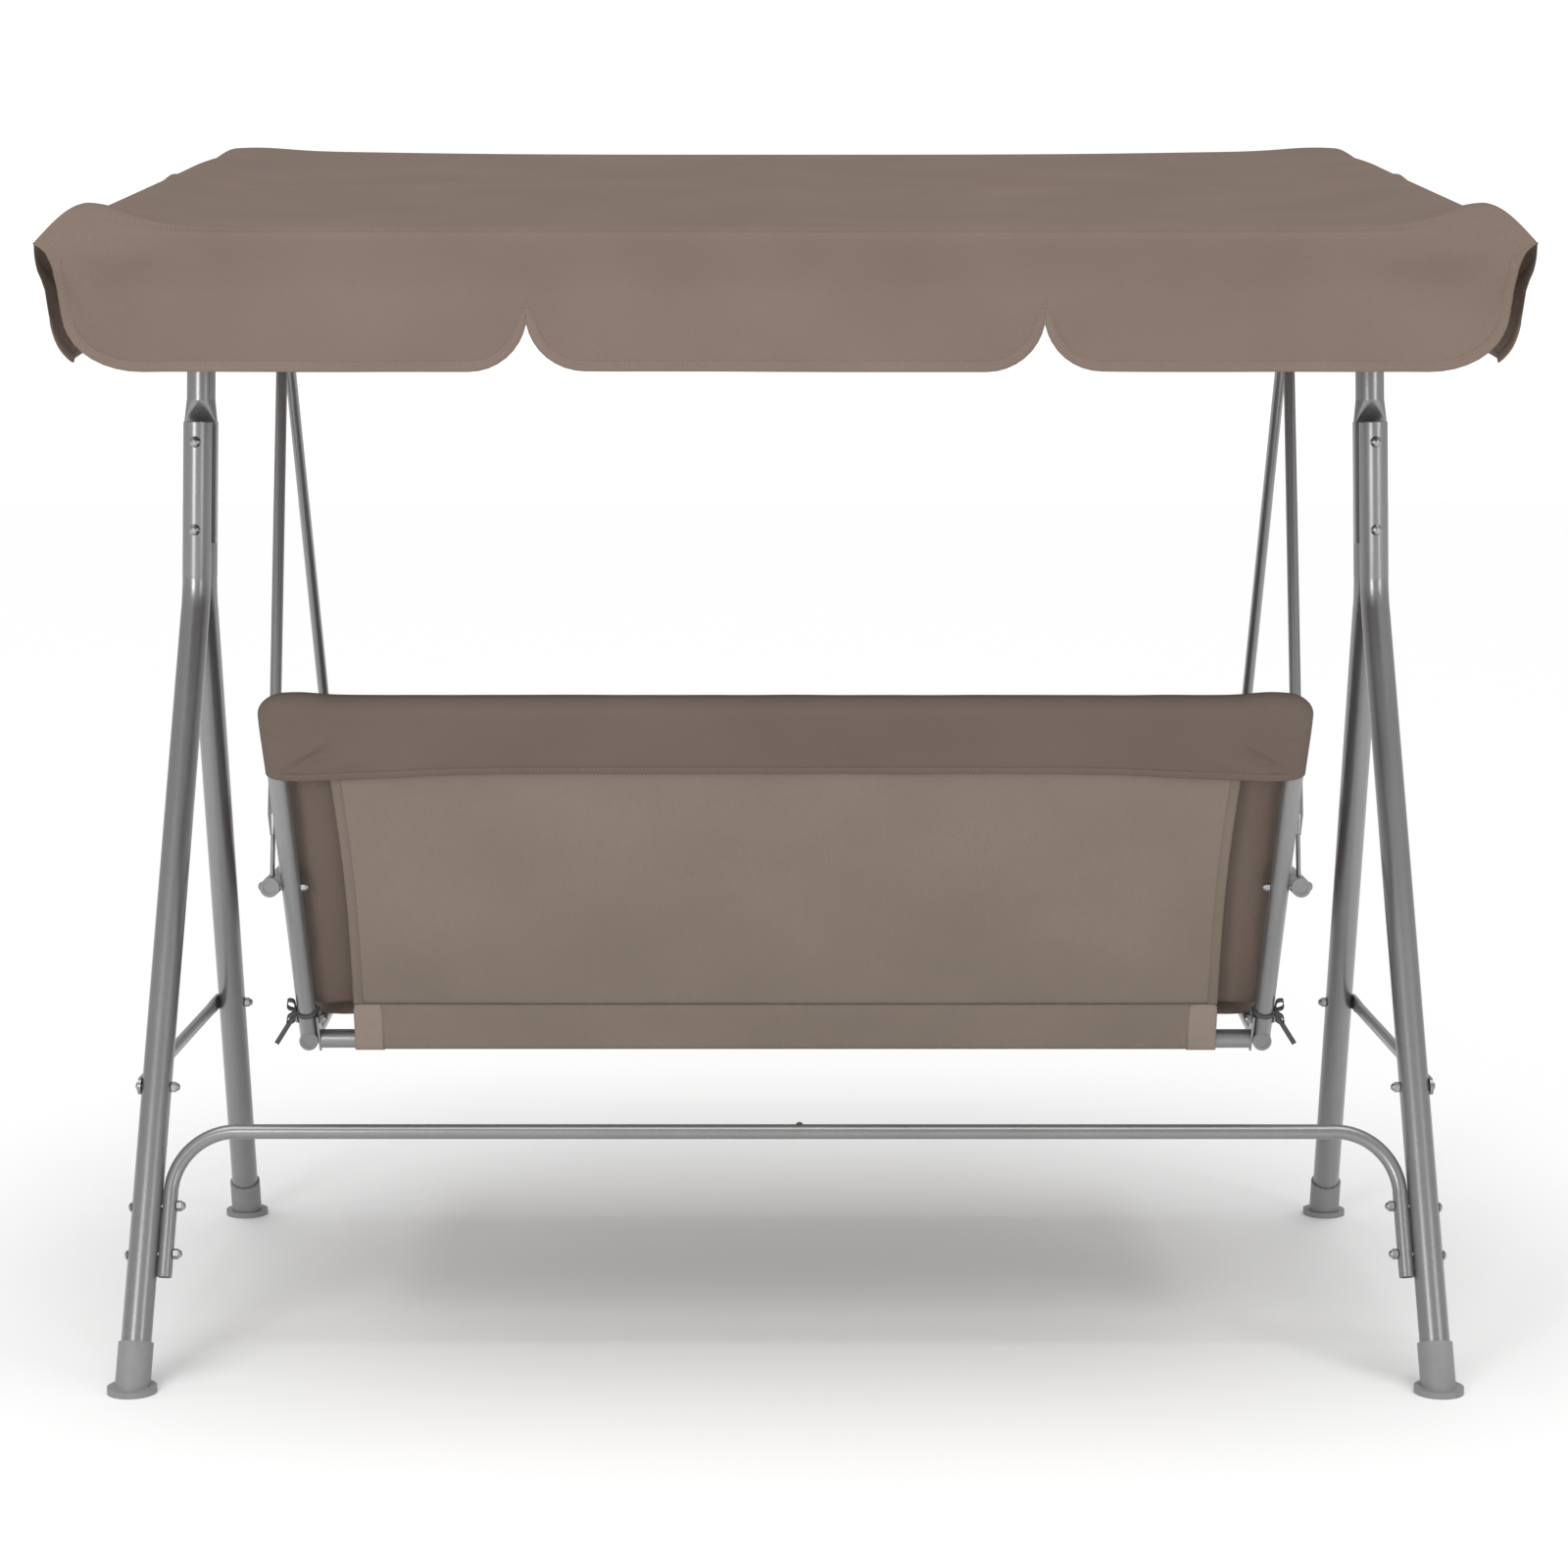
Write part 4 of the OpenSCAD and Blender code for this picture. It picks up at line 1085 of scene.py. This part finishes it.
@dataclass
class Cushion:
    """Stuffed pad with a piped edge, swelled from a flat block by cloth pressure."""

    name: str
    node: str
    plane: Plane
    low: float
    high: float
    base: float
    thick: float
    finishes: Finishes
    finish: bpy.types.Material
    half_w: float = 0.642
    corner: float = 0.024
    shrink: float = 7.0 * MM
    cap: float = 22.0 * MM
    voxel: float = 8.0 * MM
    fill: float = 0.75

    def to_local(self) -> Matrix:
        """Matrix from the pad's own axes (across, along, out) to the frame."""
        turn = Matrix((ACROSS, self.plane.along, self.plane.out)).transposed().to_4x4()
        return Matrix.Translation(self.plane.origin) @ turn

    def block(self) -> bpy.types.Object:
        """The uninflated pad: a block with rounded corners and thin edges."""
        w = self.half_w - self.shrink
        mid, half_l = (self.low + self.high) / 2, (self.high - self.low) / 2 - self.shrink
        middle, half_t = self.base + self.thick / 2, self.thick / 2 - self.shrink
        shape = bmesh.new()
        rings = []
        for level, inset in ((-1.0, 5 * MM), (-0.75, 1 * MM), (0.0, 0.0), (0.72, 2 * MM),
                             (1.0, 9 * MM)):
            ring = [shape.verts.new((p.x, mid + p.y, middle + level * half_t))
                    for p in self.ring(w - inset, half_l - inset)]
            rings.append(ring)
        for a, b in zip(rings, rings[1:]):
            for i in range(len(a)):
                k = (i + 1) % len(a)
                shape.faces.new((a[i], a[k], b[k], b[i]))
        shape.faces.new(list(reversed(rings[0])))
        shape.faces.new(rings[-1])
        mesh = bpy.data.meshes.new(self.name)
        shape.to_mesh(mesh)
        shape.free()
        made = new_object(self.name + "_block", mesh)
        remesh = made.modifiers.new("even", "REMESH")
        remesh.mode = "VOXEL"
        remesh.voxel_size = self.voxel
        return self.baked(made, self.name)

    def ring(self, half_x: float, half_y: float, steps: int = 6) -> Line:
        """Rounded rectangle round the pad's middle."""
        points = []
        for quarter, (sx, sy) in enumerate(((1, 1), (-1, 1), (-1, -1), (1, -1))):
            for i in range(steps + 1):
                a = math.pi / 2 * (quarter + i / steps)
                points.append(Vector((sx * (half_x - self.corner) + self.corner * math.cos(a),
                                      sy * (half_y - self.corner) + self.corner * math.sin(a), 0)))
        return points

    @staticmethod
    def baked(obj: bpy.types.Object, name: str) -> bpy.types.Object:
        """Replaces an object by a plain copy of what its modifiers make."""
        graph = bpy.context.evaluated_depsgraph_get()
        mesh = bpy.data.meshes.new_from_object(obj.evaluated_get(graph))
        bpy.data.objects.remove(obj)
        mesh.name = name
        return new_object(name, mesh)

    def inflate(self, pad: bpy.types.Object) -> bpy.types.Object:
        """Swells the pad by cloth pressure, holding each point to the cap."""
        cloth = pad.modifiers.new("swell", "CLOTH")
        cloth.settings.quality = 4
        cloth.settings.mass = 0.3
        cloth.settings.tension_stiffness = 22
        cloth.settings.compression_stiffness = 18
        cloth.settings.shear_stiffness = 8
        cloth.settings.bending_stiffness = 0.6
        cloth.settings.use_pressure = True
        cloth.settings.uniform_pressure_force = 4.0
        cloth.settings.effector_weights.gravity = 0.0
        start = [v.co.copy() for v in pad.data.vertices]
        scene = bpy.context.scene
        for number in range(1, 21):
            scene.frame_set(number)
        graph = bpy.context.evaluated_depsgraph_get()
        mesh = bpy.data.meshes.new_from_object(pad.evaluated_get(graph))
        pad.modifiers.clear()
        for vertex, before, after in zip(pad.data.vertices, start, mesh.vertices):
            move = after.co - before
            if move.length > self.cap:
                move *= self.cap / move.length
            vertex.co = before + move
        bpy.data.meshes.remove(mesh)
        scene.frame_set(1)
        return pad

    def shape(self, pad: bpy.types.Object) -> None:
        """Presses the pad flat where it rests, adds slack folds, and keeps it in its space."""
        mid, half_l = (self.low + self.high) / 2, (self.high - self.low) / 2
        floor, roof = self.base + 0.4 * MM, self.base + self.thick + 4 * MM
        widest = max(abs(v.co.x) for v in pad.data.vertices)
        longest = max(abs(v.co.y - mid) for v in pad.data.vertices)
        for vertex in pad.data.vertices:
            vertex.co.x *= self.half_w / widest
            vertex.co.y = mid + (vertex.co.y - mid) * half_l / longest
        for vertex in pad.data.vertices:
            x, y, z = vertex.co
            edge = min(self.half_w - abs(x), half_l - abs(y - mid))
            slack = smooth_step(edge, 0.0, 0.05)
            top = smooth_step(z, self.base + self.thick * 0.4, self.base + self.thick)
            z += top * (1.5 * rough(x, y, 0.13, 1.0) + 0.8 * rough(x, y, 0.05, 2.0)) * MM * slack
            pull = 1 - slack
            z += 1.4 * MM * rough(x, y, 0.022, 6.0) * pull
            vertex.co.z = min(max(z, floor), roof)
            vertex.co.x = min(max(x, -self.half_w), self.half_w)
            vertex.co.y = min(max(y, self.low), self.high)

    def piping(self, pad: bpy.types.Object, tree: bpy.types.NodeTree) -> bpy.types.Object:
        """Piping that follows the swelled pad's edge."""
        surface = BVHTree.FromPolygons([v.co for v in pad.data.vertices],
                                       [p.vertices for p in pad.data.polygons])
        mid, half_l = (self.low + self.high) / 2, (self.high - self.low) / 2
        middle = self.base + self.thick / 2
        inner = self.ring(self.half_w - 0.08, half_l - 0.08, 8)
        outer = self.ring(self.half_w + 0.05, half_l + 0.05, 8)
        line = []
        for i, (far, near) in enumerate(zip(outer, inner)):
            k = (i + 1) % len(outer)
            pieces = max(int((outer[k] - far).length / 0.03), 1)
            for j in range(pieces):
                start = far.lerp(outer[k], j / pieces) + Vector((0, mid, middle))
                end = near.lerp(inner[k], j / pieces) + Vector((0, mid, middle))
                hit = surface.ray_cast(start, (end - start).normalized())[0]
                if hit is not None:
                    line.append(self.to_local() @ (hit + (end - start).normalized() * 0.8 * MM))
        made = grow(self.name + "_piping", tree, [line], True, self.finish, Radius=2.6 * MM)
        return settle(made, "seat")

    def build(self, cords: bpy.types.NodeTree) -> bpy.types.Object:
        pad = self.block()
        self.inflate(pad)
        self.shape(pad)
        self.piping(pad, cords)
        pad.data.transform(self.to_local())
        if self.to_local().determinant() < 0:
            pad.data.flip_normals()
        smooth_faces(pad)
        sub = pad.modifiers.new("smooth", "SUBSURF")
        sub.levels = sub.render_levels = 1
        settle(pad, "seat", self.finish, [self.node])
        return pad


@dataclass
class Hood:
    """Pocket sewn to the back cushion that slips over the top rail and its corners."""

    plane: Plane
    length: float
    rail_r: float
    finishes: Finishes
    flap: float = 0.088
    end_drop: float = 0.012
    half_w: float = 0.650
    straight: float = 0.618
    joint_out: float = 0.044
    joint_drop: float = 0.020
    hem: float = 11.0 * MM

    def section(self) -> list[tuple[float, float]]:
        """Section at the middle: from the rear hem, over the rail, to the cushion's top edge."""
        r = self.rail_r + 4.2 * MM
        top = self.length
        points = [(top - self.flap * (1 - i / 17), -r - 0.6 * MM) for i in range(18)]
        points += [(top + r * math.sin(math.radians(a)), -r * math.cos(math.radians(a)))
                   for a in range(15, 106, 15)]
        last = points[-1]
        goal = (top - self.joint_drop, self.joint_out)
        points += [(last[0] + (goal[0] - last[0]) * t ** 1.15, last[1] + (goal[1] - last[1]) * t)
                   for t in (0.2, 0.4, 0.6, 0.8, 1.0)]
        return points

    def point(self, x: float, along: float, out: float) -> Vector:
        """Point of the hood, drawn in round the corners and creased there.

        Args:
            x: Place across, at most half_w.
            along: Place along the backrest.
            out: Distance from the backrest's plane.

        Returns:
            The point in the frame.
        """
        side = math.copysign(1.0, x)
        bend = min(max((abs(x) - self.straight) / (self.half_w - self.straight), 0.0), 1.0)
        angle = bend * math.pi / 2
        place = abs(x)
        if bend > 0:
            place = self.straight + (self.half_w - self.straight) * math.sin(angle)
        above = max(along - (self.length - self.flap), 0.0)
        rise = smooth_step(along, self.length - 0.05, self.length + self.rail_r)
        along -= rise * 0.028 * (1 - math.cos(angle))
        along += 4.5 * MM * bump(abs(x), 0.600, 0.035) * rise
        front = smooth_step(out, 0.01, self.joint_out)
        out *= math.cos(angle) ** 0.8 if out < self.rail_r + 5 * MM else 1.0
        place -= front * 0.034 * smooth_step(abs(x), 0.45, self.half_w)
        low = 1 - smooth_step(above, 0.0, 0.06)
        along -= self.end_drop * low * smooth_step(abs(x), 0.35, 0.62)
        place -= 1.0 * MM * low * smooth_step(abs(x), 0.55, self.half_w)
        if out < 0:
            out -= self.folds(abs(x), along) * math.cos(angle)
        else:
            out += 0.8 * MM * rough(x, along, 0.06, 8.0)
        return self.plane.at(side * place, along, out)

    def folds(self, x: float, along: float) -> float:
        """Height of the folds of the rear flap."""
        y = self.length - along
        height = 4.0 * crease(x, y, (0.646, 0.022), (0.606, 0.030), 0.005)
        height += 6.0 * crease(x, y, (0.628, 0.078), (0.570, 0.036), 0.007)
        height -= 4.5 * crease(x, y, (0.618, 0.082), (0.556, 0.050), 0.007)
        height += 3.2 * crease(x, y, (0.600, 0.084), (0.520, 0.068), 0.007)
        height += 1.5 * rough(x, y, 0.10, 1.0) + 0.7 * rough(x, 1.6 * y, 0.035, 5.0)
        return (height + 1.6 * smooth_step(y, 0.02, 0.09)) * MM

    def cloth(self) -> bpy.types.Object:
        """Builds the pocket."""
        section = self.section()
        middle = [-0.48 + 0.96 * i / 60 for i in range(61)]
        tail = [0.48 + (self.straight - 0.48) * i / 28 for i in range(1, 29)]
        places = [-p for p in reversed(tail)] + middle + tail
        turns = [self.straight + (self.half_w - self.straight) * i / 9 for i in range(1, 10)]
        places = [-p for p in reversed(turns)] + places + turns
        runs = [0.0]
        for a, b in zip(section, section[1:]):
            runs.append(runs[-1] + math.hypot(b[0] - a[0], b[1] - a[1]))
        sheet = SheetBuilder()
        sheet.grid([[self.point(x, a, b) for x in places] for a, b in section],
                   [[Vector((x, run, 0)) for x in places] for run in runs])
        made = sheet.finish("cushion_hood_cloth", thickness=1.2 * MM, levels=1)
        return settle(made, "seat", self.finishes.hood, ["cushion_hood"])

    def rim(self) -> bpy.types.Object:
        """Turned hem along the rear flap's lower edge."""
        low = self.section()[0]
        rows, uv = [], []
        shares = [i / 60 * 2 - 1 for i in range(61)]
        turned = ((self.hem, 0.5), (self.hem - 1 * MM, 1.5), (0.5 * MM, 1.6), (-1.2 * MM, 0.0),
                  (0.5 * MM, -1.5), (self.hem, -1.2))
        for k, (rise, lift) in enumerate(turned):
            rows.append([self.point(s * self.half_w * 0.992, low[0] + rise, low[1])
                         - self.plane.out * lift * MM for s in shares])
            uv.append([Vector((s * self.half_w, 5 * MM * k, 0)) for s in shares])
        sheet = SheetBuilder()
        sheet.grid(rows, uv, closed=True)
        made = sheet.finish("cushion_hood_hem")
        return settle(made, "seat", self.finishes.hood)

    def seam_lines(self) -> list[Line]:
        """Stitches along the hem and along the joint with the cushion."""
        low, last = self.section()[0], self.section()[-1]
        shares = [i / 80 * 2 - 1 for i in range(81)]
        hem = [self.point(s * 0.62, low[0] + self.hem * 0.8, low[1]) - self.plane.out * 2.0 * MM
               for s in shares]
        joint = [self.point(s * 0.60, last[0] + 3 * MM, last[1] - 4 * MM)
                 + self.plane.along * 1.2 * MM for s in shares]
        return [hem, joint]

    def build(self) -> list[Line]:
        cloth, hem = self.cloth(), self.rim()
        runs = sum(math.hypot(b[0] - a[0], b[1] - a[1])
                   for a, b in zip(self.section(), self.section()[1:]))
        2 * self.half_w
        return self.seam_lines()


@dataclass
class Ties:
    """Ribbon bows that hold the back cushion to the foot of each backrest post."""

    plane: Plane
    post_x: float
    post_r: float
    finishes: Finishes
    width: float = 6.5 * MM
    thick: float = 0.9 * MM
    height: float = 0.052

    def ribbon(self, sheet: SheetBuilder, points: Sequence[Sequence[float]], side: int,
               across: Sequence[float], steps: int = 8) -> None:
        """Adds one ribbon on a smooth line through points.

        Args:
            sheet: Collects the faces.
            points: Places relative to the post's axis: outwards, along the post, and forwards.
            side: -1 for the left post and 1 for the right.
            across: Direction of the ribbon's width, in the same axes.
            steps: Steps between two points.
        """
        path = [Vector(p) for p in points]
        line = []
        for i in range(len(path) - 1):
            p0, p1 = path[max(i - 1, 0)], path[i]
            p2, p3 = path[i + 1], path[min(i + 2, len(path) - 1)]
            for j in range(steps):
                t = j / steps
                line.append(0.5 * (2 * p1 + (p2 - p0) * t + (2 * p0 - 5 * p1 + 4 * p2 - p3) * t * t
                                   + (3 * p1 - p0 - 3 * p2 + p3) * t ** 3))
        line.append(path[-1])
        wide = Vector(across).normalized()
        rows, run = [], 0.0
        uv = []
        for i, p in enumerate(line):
            ahead = line[min(i + 1, len(line) - 1)] - line[max(i - 1, 0)]
            flat = (wide - ahead * (wide.dot(ahead) / ahead.length_squared)).normalized()
            face = ahead.cross(flat).normalized() * self.thick / 2
            edge = flat * self.width / 2
            ring = [p - edge + face, p + edge + face, p + edge - face, p - edge - face]
            rows.append([self.plane.at(side * (self.post_x + q.x), self.height + q.y, q.z)
                         for q in ring])
            run += (p - line[max(i - 1, 0)]).length
            uv.append([Vector((self.width * k, run, 0)) for k in (0, 1, 0, 1)])
        sheet.loop(rows, uv)
        ends = [[sheet.mesh.verts.new(p) for p in rows[k]] for k in (0, -1)]
        for end in ends:
            sheet.mesh.faces.new(end)

    def build(self) -> bpy.types.Object:
        """Builds both bows."""
        sheet = SheetBuilder()
        r = self.post_r + 1.4 * MM
        upper_loop = [(r, 0.002, -0.002), (r + 0.009, 0.010, -0.006), (r + 0.008, 0.022, -0.006),
                      (r + 0.001, 0.018, -0.003), (r, 0.003, -0.001)]
        lower_loop = [(r, 0.0, -0.004), (r + 0.010, -0.004, -0.009), (r + 0.012, -0.014, -0.009),
                      (r + 0.003, -0.013, -0.006), (r, -0.001, -0.003)]
        long_tail = [(r, -0.002, -0.003), (r + 0.009, -0.014, -0.010),
                     (r + 0.019, -0.031, -0.012), (r + 0.029, -0.048, -0.014)]
        short_tail = [(r, 0.002, 0.003), (r + 0.004, -0.014, 0.008), (r + 0.006, -0.032, 0.013)]
        bow = ((upper_loop, (0, 0.2, 1)), (lower_loop, (0, 0.2, 1)),
               (long_tail, (0.6, 0.5, 0.2)), (short_tail, (0.6, 0.2, 0.6)))
        for side in (-1, 1):
            turn = [(r * math.cos(a), 1.5 * MM * math.cos(a / 2), r * math.sin(a))
                    for a in [math.radians(20 * i) for i in range(19)]]
            self.ribbon(sheet, turn, side, (0, 1, 0), 3)
            for line, wide in bow:
                self.ribbon(sheet, line, side, wide)
        bmesh.ops.remove_doubles(sheet.mesh, verts=sheet.mesh.verts, dist=0.02 * MM)
        made = sheet.finish("ribbon_ties")
        return settle(made, "seat", self.finishes.ribbon, ["cushion_ties"])


@dataclass
class SoftSeat:
    """Slings, cushions, hood and ties of the swinging seat."""

    finishes: Finishes
    back: Plane
    back_length: float
    seat: Plane
    seat_length: float
    rail_r: float

    def build(self, stitches: bpy.types.NodeTree, cords: bpy.types.NodeTree) -> None:
        """Builds every soft piece of the seat."""
        lift = self.rail_r + 1.4 * MM
        back = Sling("back_sling_cloth", "back_sling", self.back, self.back_length, self.finishes,
                     self.rail_r, low_sleeve=True)
        under = Sling("seat_sling_cloth", "seat_sling", self.seat, self.seat_length, self.finishes,
                      self.rail_r, low_sleeve=False, lift=lift)
        hood = Hood(self.back, self.back_length, self.rail_r, self.finishes)
        lines = back.build() + under.build() + hood.build()
        base = self.rail_r + 5 * MM
        Cushion("back_pad", "back_cushion", self.back, 0.034, self.back_length - 0.018, base, 0.050,
                self.finishes, self.finishes.back_pad).build(cords)
        Cushion("seat_pad", "seat_cushion", self.seat, 0.046, self.seat_length + 0.018,
                base - 2 * MM, 0.054, self.finishes, self.finishes.seat_pad).build(cords)
        post = centre_of("back_post_right").x
        Ties(self.back, post, self.rail_r, self.finishes).build()
        seams = grow("seat_stitches", stitches, lines, False, self.finishes.thread,
                     Pitch=4.6 * MM, Length=3.2 * MM, Thread=0.8 * MM)
        settle(seams, "seat")


# ---------- metal and plastic ----------


@dataclass
class Hardware:
    """Gives every tube, bolt and cap of the frame its finish."""

    finishes: Finishes
    record: dict

    def build(self) -> None:
        """Dresses the shown CAD nodes by their material slots."""
        by_slot = {"frame_paint": self.finishes.stand, "seat_paint": self.finishes.seat_tube,
                   "fasteners": self.finishes.zinc, "caps": self.finishes.caps}
        for part in self.record["subparts"]:
            material = by_slot.get(part["material_slot"])
            node = frame["nodes"][part["node"]]
            if material is None:
                continue
            for place in node.material_slots:
                place.material = material
            LOG.info("%s: %s", part["node"], material.name)


# ---------- studio ----------


@dataclass
class Studio:
    """Pale floor, soft lights and the camera."""

    distance: float = 4.48
    eye_height: float = 1.261
    pitch: float = 6.97
    yaw: float = 0.025
    lens: float = 76.1

    def camera(self) -> None:
        """Places the camera behind the swing, looking slightly down."""
        data = bpy.data.cameras.new("camera")
        data.lens, data.sensor_width = self.lens, 36.0
        made = new_object("camera", data)
        made.location = (0, -self.distance, self.eye_height)
        made.rotation_euler = (math.radians(90 - self.pitch), 0, math.radians(self.yaw))
        bpy.context.scene.camera = made

    def floor(self) -> None:
        """Large pale floor."""
        mesh = bpy.data.meshes.new("floor")
        size = 30.0
        mesh.from_pydata([(-size, -size, 0), (size, -size, 0), (size, size, 0), (-size, size, 0)],
                         [], [(0, 1, 2, 3)])
        made = new_object("floor", mesh)
        graph = Graph("floor_paint")
        made.data.materials.append(graph.surface(Base_Color=(1.0, 1.0, 1.0, 1), Roughness=0.9,
                                                 Specular_IOR_Level=0.1))

    def light(self, name: str, place: Sequence[float], aim: Sequence[float], size: float,
              watts: float) -> None:
        """Adds a square soft light.

        Args:
            name: The light's name.
            place: Where it stands.
            aim: The point that it faces.
            size: Length of its sides.
            watts: Its power.
        """
        data = bpy.data.lights.new(name, "AREA")
        data.shape, data.size, data.energy = "SQUARE", size, watts
        made = new_object(name, data)
        made.location = place
        made.rotation_euler = (Vector(aim) - Vector(place)).to_track_quat("-Z", "Y").to_euler()

    def sun(self, name: str, towards: Sequence[float], strength: float, spread: float) -> None:
        """Adds wide, even light from far away, from the direction given."""
        data = bpy.data.lights.new(name, "SUN")
        data.energy, data.angle = strength, math.radians(spread)
        made = new_object(name, data)
        made.rotation_euler = Vector(towards).to_track_quat("Z", "Y").to_euler()

    def sky(self) -> None:
        """Even white surroundings."""
        world = bpy.data.worlds.new("surroundings")
        world.use_nodes = True
        tree = world.node_tree
        back = tree.nodes["Background"]
        back.inputs[0].default_value = (1, 1, 1, 1)
        seen = tree.nodes.new("ShaderNodeLightPath")
        strength = tree.nodes.new("ShaderNodeMapRange")
        strength.inputs["To Min"].default_value = 0.54
        strength.inputs["To Max"].default_value = 1.1
        tree.links.new(seen.outputs["Is Camera Ray"], strength.inputs["Value"])
        tree.links.new(strength.outputs[0], back.inputs[1])
        bpy.context.scene.world = world

    def build(self) -> None:
        """Builds the whole studio."""
        self.camera()
        self.floor()
        self.sky()
        self.sun("overhead", (0.0, -0.20, 1.0), 1.5, 45)
        self.light("behind_left", (-2.2, -4.8, 1.7), (0, 0, 0.9), 1.3, 62)
        self.light("behind_right", (3.6, -4.0, 1.6), (0, 0, 0.8), 1.2, 27)
        bpy.context.scene.view_settings.view_transform = "Standard"


def main() -> None:
    """Builds the studio, dresses the frame and makes the cloth."""
    logging.basicConfig(level=logging.INFO, format="%(name)s: %(message)s")
    low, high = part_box("back_top_rail")
    rail_r = half_size("seat_rear_rail").z
    top = Vector((0, low.y + rail_r, high.z - rail_r))
    back, back_length = plane_through("seat_rear_rail", top)
    seat, seat_length = plane_through("seat_rear_rail", centre_of("seat_front_rail"))
    seat = Plane(seat.origin, seat.along, ACROSS.cross(seat.along))
    recline = math.atan2(-back.along.y, back.along.z)
    Studio().build()
    finishes = Finishes(recline)
    Hardware(finishes, frame["record"]).build()
    stitches, cords = stitch_tree(), cord_tree()
    CanopyCover(finishes).build(stitches)
    SoftSeat(finishes, back, back_length, seat, seat_length, rail_r).build(stitches, cords)


if __name__ == "__main__":
    main()
